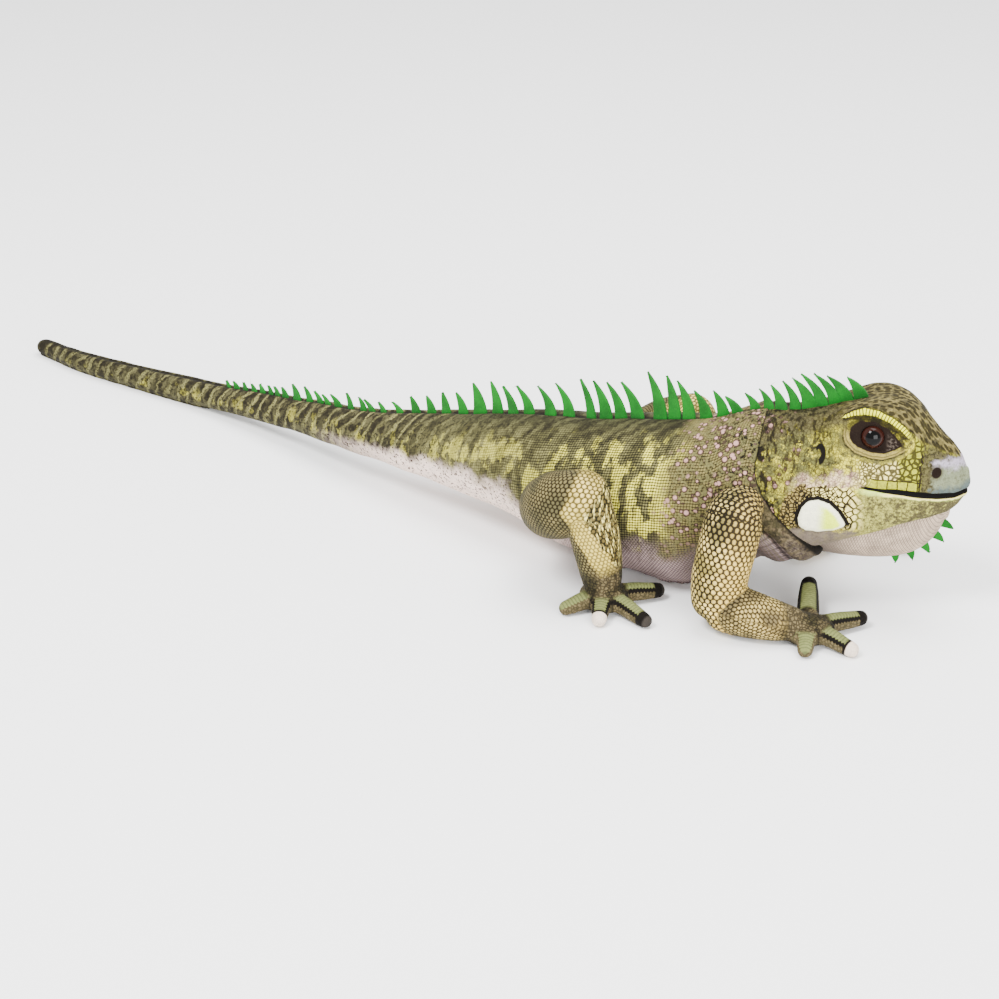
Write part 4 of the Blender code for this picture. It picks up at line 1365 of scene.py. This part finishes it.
def toe_route(place, angle, length, rise):
    """The middle line of a toe: it leaves the palm, bends down and lies on its tip."""
    x, y, heading = place
    way = math.radians(heading + angle)
    ahead = Vector((math.cos(way), math.sin(way), 0))
    start = Vector((x, y, 0))
    end = length - TOE_TIP * 0.8
    wide = 0.1 * rise
    return [
        (*(start + ahead * end * share).xy, z + rise * share**2, radius)
        for share, z, radius in (
            (0.1, 8.0, 6.4),
            (0.3, 8.2, 6.6 + wide),
            (0.55, 7.6, 6.4 + wide),
            (0.8, 6.0, 5.8 + wide),
            (1.0, TOE_TIP - 0.4, TOE_TIP + wide / 2),
        )
    ]


def limb(name, upper, lower, place, digits, hind):
    """One limb's skin: its sleeves, palm and toes grown together, with a reading at each point."""
    whole = bmesh.new()
    stretches = []
    run = 0.0
    for route, kind in ((upper, UPPER), (lower, LOWER)):
        frames = limb_frames(route, SLEEVE_ROWS)
        stretches.append((frames, kind, run, 0, 0))
        run += sum((b[0] - a[0]).length for a, b in zip(frames, frames[1:]))
        add_to(whole, sleeve(frames))
    for angle, length, rise, white in digits:
        frames = limb_frames(toe_route(place, angle, length, rise), TOE_ROWS)
        stretches.append((frames, TOE, 0.0, length, white))
        add_to(whole, sleeve(frames, columns=20, domes=4))
    add_to(whole, palm(place))
    rough = new_piece(name, whole)
    remesh = rough.modifiers.new("grow_together", "REMESH")
    remesh.mode = "VOXEL"
    remesh.voxel_size = LIMB_GRAIN * MM
    smooth = rough.modifiers.new("settle", "CORRECTIVE_SMOOTH")
    smooth.factor = 0.6
    smooth.iterations = 8
    smooth.smooth_type = "LENGTH_WEIGHTED"
    smooth.use_only_smooth = True
    graph = bpy.context.evaluated_depsgraph_get()
    mesh = bpy.data.meshes.new_from_object(rough.evaluated_get(graph))
    mesh.name = name
    old = rough.data
    rough.modifiers.clear()
    rough.data = mesh
    bpy.data.meshes.remove(old)
    read_limb(mesh, stretches, place, hind)
    mesh.shade_smooth()
    return rough


def add_to(whole, bm):
    """Moves one bmesh into another."""
    mesh = bpy.data.meshes.new("sleeve")
    bm.to_mesh(mesh)
    bm.free()
    whole.from_mesh(mesh)
    bpy.data.meshes.remove(mesh)


def lengths(rows):
    """The length of each row of numbers."""
    return np.linalg.norm(rows, axis=-1)


def ramp(values, low, high):
    """Even change from 0 at low to 1 at high."""
    return np.clip((values - low) / (high - low), 0, 1)


def read_limb(mesh, stretches, place, hind):
    """Gives each point of a limb its place along and round its sleeve, and what sort of sleeve."""
    count = len(mesh.vertices)
    points = np.empty(count * 3)
    mesh.vertices.foreach_get("co", points)
    points = points.reshape(-1, 3) / MM
    from_middle = lengths(points[:, :2] - np.array(place[:2]))
    best = np.full(count, np.inf)
    cloth, sewn, digit, out = (np.zeros((count, 3)) for _ in range(4))
    scores = []
    for frames, kind, start, length, white in stretches:
        spots, aheads, acrosses, ups = (np.array([list(each[k]) for each in frames]) for k in range(4))
        radii = np.array([each[4] for each in frames])
        runs = np.concatenate([[0], np.cumsum(lengths(np.diff(spots, axis=0)))])
        nearest = np.argmin(lengths(points[:, None] - spots), axis=1)
        reach = points - spots[nearest]
        ahead = (reach * aheads[nearest]).sum(1)
        along = runs[nearest] + ahead
        off = reach - aheads[nearest] * ahead[:, None]
        away = lengths(off)
        way = off / np.maximum(away, TINY)[:, None]
        # A point belongs to the stretch whose skin it is nearest to. Being past an end counts against it.
        score = away - radii[nearest] + np.maximum(along - runs[-1] - radii[-1], 0)
        score += np.maximum(-along, 0) * (0.2 if kind == UPPER else 1.0)
        if kind == TOE:
            score += np.maximum(TOE_START - from_middle, 0) * 0.5
            scores.append(score)
        taken = score < best
        best = np.where(taken, score, best)
        angle = np.arctan2((off * acrosses[nearest]).sum(1), (off * ups[nearest]).sum(1))
        cloth[taken] = np.stack([along + start, angle * radii[nearest], np.zeros(count)], 1)[taken]
        sewn[taken] = (kind == LOWER, 0, kind == TOE)
        out[taken] = way[taken]
        if kind == TOE:
            from_tip = 0.9 * length - 1.0 - along
            height = np.arccos(np.clip(way[:, 2], -1, 1)) / (math.pi / 2)
            digit[taken] = np.stack([from_tip, height, np.full(count, white)], 1)[taken]

    # The palm fades into the sleeve, and the toes begin where they leave the palm.
    from_palm = lengths((points - np.array([*place[:2], PALM_Z])) / np.array([1, 1, 1.6]))
    on_toe = sewn[:, 2] > 0
    sewn[:, 1] = np.where(on_toe, 1, ramp(from_palm, *PALM_FADE))
    sewn[:, 2] = on_toe * ramp(from_middle, TOE_START, TOE_FULL)
    # Painted shade lies in the valleys, where two toes are about as near.
    between = np.sort(scores, axis=0)[1] - best
    toe_gap_shade = VALLEY_DEPTH * ramp(between, VALLEY_WIDTH, 0)
    for fade in (VALLEY_START, VALLEY_END):
        toe_gap_shade *= ramp(from_middle, *fade)
    if hind:
        # The thigh's scales spread from its outer middle, as over a ball.
        side = 1 if place[1] > 0 else -1
        x, y, z = THIGH_MIDDLE
        reach = points - np.array([x, side * y, z])
        flat = np.hypot(reach[:, 0], reach[:, 2])
        polar = np.arctan2(flat, reach[:, 1] * side) * THIGH_RADIUS / np.maximum(flat, TINY)
        fan = np.stack([-reach[:, 2] * polar, reach[:, 0] * polar, np.zeros(count)], 1)
        upper = (sewn[:, 0] < 0.5) & (sewn[:, 2] < 0.5)
        cloth[upper] = fan[upper]
    kept = np.stack([np.full(count, float(hind)), out[:, 0], toe_gap_shade], 1)
    for name, values in (("cloth", cloth), ("sewn", sewn), ("digit", digit), ("limb", kept)):
        attribute = mesh.attributes.new(name, "FLOAT_VECTOR", "POINT")
        attribute.data.foreach_set("vector", values.astype(np.float32).ravel())


# Felt -----------------------------------------------------------------------------------------


# x where the crest passes from the back to the nape, and over what length; half width of a blade's
# blunt tip, how deep its root is sewn in and how far its cut edges are rounded; the most a base is wide.
NAPE_START = 46
NAPE_BLEND = 12
BLUNT = 0.7
ROOT = 3.0
CUT_EDGE = 0.35
WIDEST_BASE = 5.0
# How far blades differ in the width of the base, in leaning to a side and in turning.
UNEVEN_BASE = 0.25
UNEVEN_LEAN = 0.2
UNEVEN_TURN = 0.35
# The chin's spikes: how many, t of the first, how far the last is ahead, how they crowd forward, the
# height of the first and what each next one gains, half width of the base and sweep of the tip.
CHIN_SPIKES = 5
CHIN_START = 86
CHIN_LENGTH = 29.5
CHIN_CROWD = 1.3
CHIN_HEIGHT = 5.6
CHIN_GAIN = 0.6
CHIN_BASE = 3.4
CHIN_SWEEP = 1.0


def crest_foot(x):
    """A point of the hide's middle line over x, on the back or on the nape of the head."""
    y, middle, half_height, _ = blend(TORSO, round(x, 3))
    back = Vector((x, y, middle + half_height))
    t = (x - HEAD_ROOT[0]) / math.cos(HEAD_TURN)
    nape = head_world(t, 0, blend(HEAD, round(max(t, HEAD[0][0]), 3))[0])
    share = min(max((x - NAPE_START) / NAPE_BLEND, 0), 1)
    return back.lerp(nape, share)


def spine(foot, rear, rise, height, half_base, lean, felt):
    """One die-cut felt blade: convex in front, hollow behind, its tip swept back by lean."""
    side = rear.cross(rise).normalized()
    bm = bmesh.new()
    bmesh.ops.create_grid(bm, x_segments=4, y_segments=10, size=1)
    for vert in bm.verts:
        across, level = vert.co.x, (vert.co.y + 1) / 2
        width = (half_base - BLUNT) * (1 - level**1.5) + BLUNT * (1 - level**8)
        swept = lean * level**2.2 - 0.05 * height * math.sin(math.pi * level)
        back = across * width + swept + 0.12 * half_base * (1 - level)
        vert.co = (foot + rear * back + rise * (level * (height + ROOT) - ROOT)) * MM
    bmesh.ops.recalc_face_normals(bm, faces=bm.faces)
    bmesh.ops.solidify(bm, geom=bm.faces[:], thickness=felt * MM)
    middle = sum((vert.co for vert in bm.verts), Vector()) / len(bm.verts)
    bmesh.ops.translate(bm, verts=bm.verts, vec=side * (foot * MM - middle).dot(side))
    edges = [edge for edge in bm.edges if edge.calc_face_angle(0) > 0.9]
    rounded = {"offset_type": "OFFSET", "segments": 2, "affect": "EDGES", "profile": 0.5, "material": -1}
    bmesh.ops.bevel(bm, geom=edges, offset=CUT_EDGE * MM, **rounded)
    bmesh.ops.recalc_face_normals(bm, faces=bm.faces)
    return bm


def throat_edge(t):
    """A point of the throat pouch's lower edge."""
    return head_world(t, 0, blend(THROAT, round(t, 3))[1])


# Add-on ---------------------------------------------------------------------------------------


def finish_piece(obj, material, slot, *stands_for):
    """Gives a piece its material and its place in the frame, and hides the nodes that it stands for."""
    obj.data.materials.append(material)
    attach(obj, "root")
    if stands_for:
        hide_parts(*stands_for)
    return obj


class ToyIguanaSizes(bpy.types.PropertyGroup):
    """Sizes that the operators take"""

    eye_radius: bpy.props.FloatProperty(
        name="Eye radius",
        description="Radius of the safety eyes",
        default=(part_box("eye_right")[1].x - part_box("eye_right")[0].x) / 2,
        unit="LENGTH",
    )
    felt: bpy.props.FloatProperty(
        name="Felt",
        description="Thickness of the felt that the spines are cut from",
        default=2.2 * MM,
        unit="LENGTH",
    )
    spine_height: bpy.props.FloatProperty(
        name="Spine height",
        description="Scale of the spines' heights",
        default=1.0,
        subtype="FACTOR",
        min=0,
        max=1.5,
    )
    fill: bpy.props.FloatProperty(
        name="Fill",
        description="How tightly the skins are stuffed",
        default=0.9,
        subtype="FACTOR",
        min=0,
        max=1,
    )


# Name, sRGB hex and meaning of each colour.
COLOURS = (
    ("olive", "45442B", "Olive of the back"),
    ("flank", "6D6940", "Khaki of the flank"),
    # Brownish khaki low on the flank, darkened in part as painted shade under the body.
    ("flank_low", "474030", "Brownish khaki of the low flank"),
    ("flank_shade", "312F1E", "Darker khaki between patches"),
    ("blotch", "DAD253", "Pale yellow blotches of the flank"),
    ("bar", "16130A", "Dark brown bars of the back"),
    ("net", "0C0904", "Lines of the net over the flank"),
    ("tail", "5E5A3B", "Khaki of the tail"),
    ("tail_dark", "2C2819", "Darker flecks of the tail"),
    ("ring", "7C784A", "Narrow pale rings of the tail"),
    ("belly", "A8918D", "Lilac-grey of the belly"),
    ("belly_net", "574A4C", "Lines of the belly's net"),
    ("tail_pink", "DDC7B9", "Pinkish underside at the tail's root"),
    ("tail_speck", "4D3E38", "Speckles of the tail's underside"),
    ("neck", "6C633A", "Tan of the neck"),
    ("spot", "B0877E", "Pink-white spots of neck and shoulder"),
    ("spot_rim", "2B1A1B", "Pinkish brown round the spots"),
    # Dark print marks and the back's seam, and painted shade in folds, creases and tucks.
    ("fold_dark", "0C0905", "Dark of folds and creases"),
    ("collar", "5B5038", "Khaki of the collar fold"),
    ("collar_dark", "312D1E", "Darker patches of the collar fold"),
    ("head_olive", "53522B", "Olive of the head's rear"),
    ("head_dark", "242010", "Dark streaks of the head's rear"),
    ("head_yellow", "7D782C", "Yellow patches of the head"),
    ("cheek", "BDB333", "Yellow-cream of the cheek"),
    ("cheek_shade", "524E2C", "Darker flecks of the cheek"),
    ("pale", "DFC19E", "White band behind the mouth"),
    ("crown", "403B27", "Olive brown of the crown"),
    # Also the painted highlight on the rims of the crown's pits.
    ("crown_edge", "6E6439", "Paler edges of the crown's cells"),
    # Also the painted shade under the brow and over the upper lid.
    ("crown_dark", "151206", "Dark spots of the crown"),
    ("scale_white", "E3D47D", "White scales of jowl and cheek"),
    ("scale_yellow", "9A9B22", "Yellow-green scales of the upper lip"),
    ("jowl_tan", "7C6C3C", "Tan scales behind the shield"),
    ("scale_line", "1F1A0D", "Brown lines between the head's scales"),
    ("outline", "0B0805", "Dark outlines between scales"),
    ("snout", "978E9B", "White-lilac snout"),
    ("muzzle", "6A7058", "Grey-green round the nostril"),
    ("teal", "48524F", "Teal cast of the front upper lip"),
    ("lip", "BCCD63", "Pale green lower lip"),
    ("jaw", "949147", "Yellow-olive jaw"),
    ("jaw_dark", "4B462C", "Darker flecks of the jaw"),
    ("brow", "D3D21E", "Cream scales of the brow"),
    ("lid", "887A3E", "Cream rings of the lower eyelid"),
    ("socket", "160E09", "Dark brown round the eye"),
    # Painted glints at the front of the dark round the eye.
    ("socket_light", "453D36", "Lighter brown round the eye"),
    ("mouth", "050403", "Black of the mouth line"),
    ("shield", "E8E7C7", "White shield under the ear"),
    ("shield_stain", "CFE407", "Yellow-green part of the shield"),
    ("throat", "B6A18B", "Pinkish grey of the throat pouch"),
    # Browner rear of the throat, darkened in part as painted shade.
    ("throat_rear", "64594F", "Browner rear of the throat pouch"),
    ("throat_shade", "594F47", "Darker cloudiness of the throat pouch"),
    ("throat_net", "443B35", "Lines of the throat's net"),
    ("scale_cream", "DCC273", "Cream scales of the limbs"),
    ("scale_shade", "86773E", "Darker cream scales"),
    ("scale_olive", "42412E", "Greenish scales at the shoulder"),
    ("scale_edge", "1B1608", "Outlines between the limbs' scales"),
    ("scale_peach", "DAB75B", "Peach scales down the front of the arm"),
    ("scale_tan", "403621", "Tan outlines on the front of the arm"),
    ("knee_dark", "17180C", "Dark green of the knee"),
    ("shin", "C4AE4F", "Cream stripe of the shin"),
    ("shin_edge", "413822", "Outlines on the shin's stripe"),
    ("palm", "5E5339", "Brown of hands and feet"),
    ("palm_dark", "302C1B", "Darker brown of hands and feet"),
    ("toe", "666B3E", "Plain olive green of the toes"),
    ("toe_rib", "373A27", "Ribs across the toes"),
    ("claw", "D0C0AF", "White tips of some toes"),
    ("claw_grey", "3B3631", "Grey tips of the other toes"),
    ("felt", "0C6118", "Bright green felt of the crest"),
    ("felt_dark", "124D16", "Darker green of the felt"),
    ("felt_light", "117D1C", "Light fibres of the felt"),
    ("pupil", "020202", "Black pupil"),
    ("iris", "25100B", "Reddish brown iris"),
    ("paper", "F2F2F2", "Pale studio floor"),
)


class ToyIguanaColours(bpy.types.PropertyGroup):
    """Colours of the print, the felt, the eyes and the floor"""

    __annotations__ = {
        name: bpy.props.FloatVectorProperty(
            name=name.replace("_", " ").capitalize(),
            description=description,
            subtype="COLOR",
            size=4,
            min=0,
            max=1,
            default=linear(code),
        )
        for name, code, description in COLOURS
    }


class IGUANA_OT_body(bpy.types.Operator):
    """Sews torso, neck and tail as one printed skin"""

    bl_idname = "toy_iguana.body"
    bl_label = "Body and tail"

    def execute(self, context):
        colours = context.scene.toy_iguana_colours
        skin = new_piece("body_skin", bent_grid(BODY_ROWS, BODY_COLUMNS, body_point, ("cloth", "fold")))
        nodes = ("neck", "trunk", "tail_1", "tail_2", "tail_3", "tail_4")
        finish_piece(skin, body_material(colours), "hide", *nodes)
        return {"FINISHED"}


class IGUANA_OT_head(bpy.types.Operator):
    """Sews the head with brow, eyelids, lips, nostrils and shields"""

    bl_idname = "toy_iguana.head"
    bl_label = "Head"

    def execute(self, context):
        colours = context.scene.toy_iguana_colours
        readings = ("face", "mouth", "eyelid", "shield", "nose")
        skin = new_piece("head_skin", bent_grid(HEAD_ROWS, HEAD_COLUMNS, head_point, readings))
        finish_piece(skin, head_material(colours), "head", "head")
        return {"FINISHED"}


class IGUANA_OT_throat(bpy.types.Operator):
    """Sews the throat pouch under the jaw"""

    bl_idname = "toy_iguana.throat"
    bl_label = "Throat pouch"

    def execute(self, context):
        colours = context.scene.toy_iguana_colours
        skin = new_piece("throat_skin", bent_grid(THROAT_ROWS, THROAT_COLUMNS, throat_point, ("cloth",)))
        finish_piece(skin, throat_material(colours), "throat", "throat")
        return {"FINISHED"}


def mirrored(rows):
    """Points of the right side turned over to the left."""
    return tuple((x, -y, *rest) for x, y, *rest in rows)


class IGUANA_OT_limbs(bpy.types.Operator):
    """Sews the four limbs with their palms and toes"""

    bl_idname = "toy_iguana.limbs"
    bl_label = "Limbs"

    def execute(self, context):
        material = limb_material(context.scene.toy_iguana_colours)
        fingers, toes = (tuple((-a, *rest) for a, *rest in digits) for digits in (FINGERS, TOES))
        left_foot = (RIGHT_FOOT[0], -RIGHT_FOOT[1], -RIGHT_FOOT[2])
        for name, upper, lower, place, digits, hind in (
            ("arm_right", UPPER_ARM, FOREARM, RIGHT_HAND, FINGERS, 0),
            ("arm_left", mirrored(UPPER_ARM), LEFT_FOREARM, LEFT_HAND, fingers, 0),
            ("leg_right", THIGH, SHIN, RIGHT_FOOT, TOES, 1),
            ("leg_left", mirrored(THIGH), mirrored(SHIN), left_foot, toes, 1),
        ):
            skin = limb(name + "_skin", upper, lower, place, digits, hind)
            label = name.split("_")[1]
            bones = ("thigh_", "shin_", "foot_") if hind else ("upper_arm_", "forearm_", "hand_")
            finish_piece(skin, material, "legs", *(bone + label for bone in bones))
        return {"FINISHED"}


class IGUANA_OT_eyes(bpy.types.Operator):
    """Fits the two glossy safety eyes"""

    bl_idname = "toy_iguana.eyes"
    bl_label = "Eyes"

    def execute(self, context):
        colours = context.scene.toy_iguana_colours
        radius = context.scene.toy_iguana_sizes.eye_radius
        for side, label in ((-1, "right"), (1, "left")):
            bm = bmesh.new()
            bmesh.ops.create_uvsphere(bm, u_segments=64, v_segments=40, radius=radius)
            way = eye_way(side)
            turn = Vector((0, 0, 1)).rotation_difference(way).to_matrix().to_4x4()
            move = Matrix.Translation(eye_middle(label))
            bmesh.ops.transform(bm, matrix=move @ turn, verts=bm.verts)
            eye = new_piece("safety_eye_" + label, bm)
            finish_piece(eye, eye_material(colours, label, way), "eyes", "eye_" + label)
        return {"FINISHED"}


class IGUANA_OT_crest(bpy.types.Operator):
    """Cuts the felt spines of back, nape and tail, and the small ones of the chin"""

    bl_idname = "toy_iguana.crest"
    bl_label = "Felt crest"

    def execute(self, context):
        colours = context.scene.toy_iguana_colours
        sizes = context.scene.toy_iguana_sizes
        felt = felt_material(colours)
        whole = bmesh.new()
        for index, (x, height, lean) in enumerate(SPINES):
            vary = [noise.noise(Vector((index * 3.7 + k * 11.3, k, 0.5))) for k in range(3)]
            rear = (crest_foot(x - 4) - crest_foot(x + 4)).normalized()
            rise = rear.cross(Vector((0, 0, 1))).cross(rear).normalized()
            side = rear.cross(rise).normalized()
            rise = (rise + side * vary[1] * UNEVEN_LEAN).normalized()
            rear = (rear + side * vary[2] * UNEVEN_TURN).normalized()
            height *= sizes.spine_height
            half_base = min(2.2 + 0.13 * height, WIDEST_BASE) * (1 + UNEVEN_BASE * vary[0])
            add_to(whole, spine(crest_foot(x), rear, rise, height, half_base, lean, sizes.felt / MM))
        crest = new_piece("felt_crest", whole)
        crest.data.materials.append(felt)
        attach(crest, "root")
        chin = bmesh.new()
        for index in range(CHIN_SPIKES):
            share = math.sin(CHIN_CROWD * index / (CHIN_SPIKES - 1)) / math.sin(CHIN_CROWD)
            t = CHIN_START + CHIN_LENGTH * share
            down = (throat_edge(t - 1) - throat_edge(min(t + 1, THROAT[-1][0]))).normalized()
            out = down.cross(head_world(0, 1, 0) - head_world(0, 0, 0)).normalized()
            height = CHIN_HEIGHT + CHIN_GAIN * index
            blade = spine(throat_edge(t), down, out, height, CHIN_BASE, CHIN_SWEEP, sizes.felt / MM)
            add_to(chin, blade)
        spikes = new_piece("felt_chin", chin)
        spikes.data.materials.append(felt)
        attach(spikes, "root")
        return {"FINISHED"}


# Lights: name, place, power in watts and size, in metres. They all point at LIGHTS_AIM.
LIGHTS = (
    ("key", (-0.5, -1.5, 2.3), 120, 0.9),
    ("fill", (1.7, -1.3, 0.5), 95, 1.4),
    ("top", (0.1, 0.4, 2.2), 70, 1.4),
)
LIGHTS_AIM = (-0.05, 0, 0.05)
WORLD_LIGHT = 1.7
FLOOR_SIZE = 9
CAMERA_PLACE = (0.6444, -1.2594, 0.7089)
CAMERA_TURN = (math.radians(65), 0, math.radians(32))
LENS = 80
SENSOR = 36


class IGUANA_OT_stage(bpy.types.Operator):
    """Lays the pale floor and sets the lights and the camera"""

    bl_idname = "toy_iguana.stage"
    bl_label = "Stage"

    def execute(self, context):
        scene = context.scene
        bm = bmesh.new()
        bmesh.ops.create_grid(bm, x_segments=1, y_segments=1, size=FLOOR_SIZE)
        floor = new_piece("studio_floor", bm, "stage")
        floor.data.materials.append(floor_material(scene.toy_iguana_colours))
        for name, place, power, size in LIGHTS:
            lamp = bpy.data.lights.new(name, "AREA")
            lamp.energy = power
            lamp.size = size
            obj = bpy.data.objects.new(name, lamp)
            obj.location = place
            aim = Vector(LIGHTS_AIM) - obj.location
            obj.rotation_euler = aim.to_track_quat("-Z", "Y").to_euler()
            scene.collection.objects.link(obj)
        world = bpy.data.worlds.new("studio")
        world.use_nodes = True
        sky = world.node_tree.nodes["Background"]
        sky.inputs["Color"].default_value = (1, 1, 1, 1)
        sky.inputs["Strength"].default_value = WORLD_LIGHT
        scene.world = world
        camera = bpy.data.objects.new("camera", bpy.data.cameras.new("camera"))
        camera.data.lens = LENS
        camera.data.sensor_width = SENSOR
        camera.location = CAMERA_PLACE
        camera.rotation_euler = CAMERA_TURN
        scene.collection.objects.link(camera)
        scene.camera = camera
        return {"FINISHED"}


STEPS = (
    IGUANA_OT_body,
    IGUANA_OT_head,
    IGUANA_OT_throat,
    IGUANA_OT_limbs,
    IGUANA_OT_eyes,
    IGUANA_OT_crest,
    IGUANA_OT_stage,
)


class IGUANA_PT_panel(bpy.types.Panel):
    """The toy's sizes, colours and pieces"""

    bl_idname = "IGUANA_PT_panel"
    bl_label = "Toy iguana"
    bl_space_type = "VIEW_3D"
    bl_region_type = "UI"
    bl_category = "Toy iguana"

    def draw(self, context):
        """Lists the settings and then the operators."""
        for group in (context.scene.toy_iguana_sizes, context.scene.toy_iguana_colours):
            for name in group.__annotations__:
                self.layout.prop(group, name)
        for step_class in STEPS:
            self.layout.operator(step_class.bl_idname)


CLASSES = (ToyIguanaSizes, ToyIguanaColours, *STEPS, IGUANA_PT_panel)


def register():
    """Registers the add-on and puts its settings on the scene."""
    for each in CLASSES:
        bpy.utils.register_class(each)
    bpy.types.Scene.toy_iguana_sizes = bpy.props.PointerProperty(type=ToyIguanaSizes)
    bpy.types.Scene.toy_iguana_colours = bpy.props.PointerProperty(type=ToyIguanaColours)


def unregister():
    """Takes the add-on out again."""
    del bpy.types.Scene.toy_iguana_colours
    del bpy.types.Scene.toy_iguana_sizes
    for each in reversed(CLASSES):
        bpy.utils.unregister_class(each)


def main():
    """Builds every piece."""
    register()
    for each in STEPS:
        group, name = each.bl_idname.split(".")
        getattr(getattr(bpy.ops, group), name)()
    bpy.context.view_layer.update()


if __name__ == "__main__":
    main()
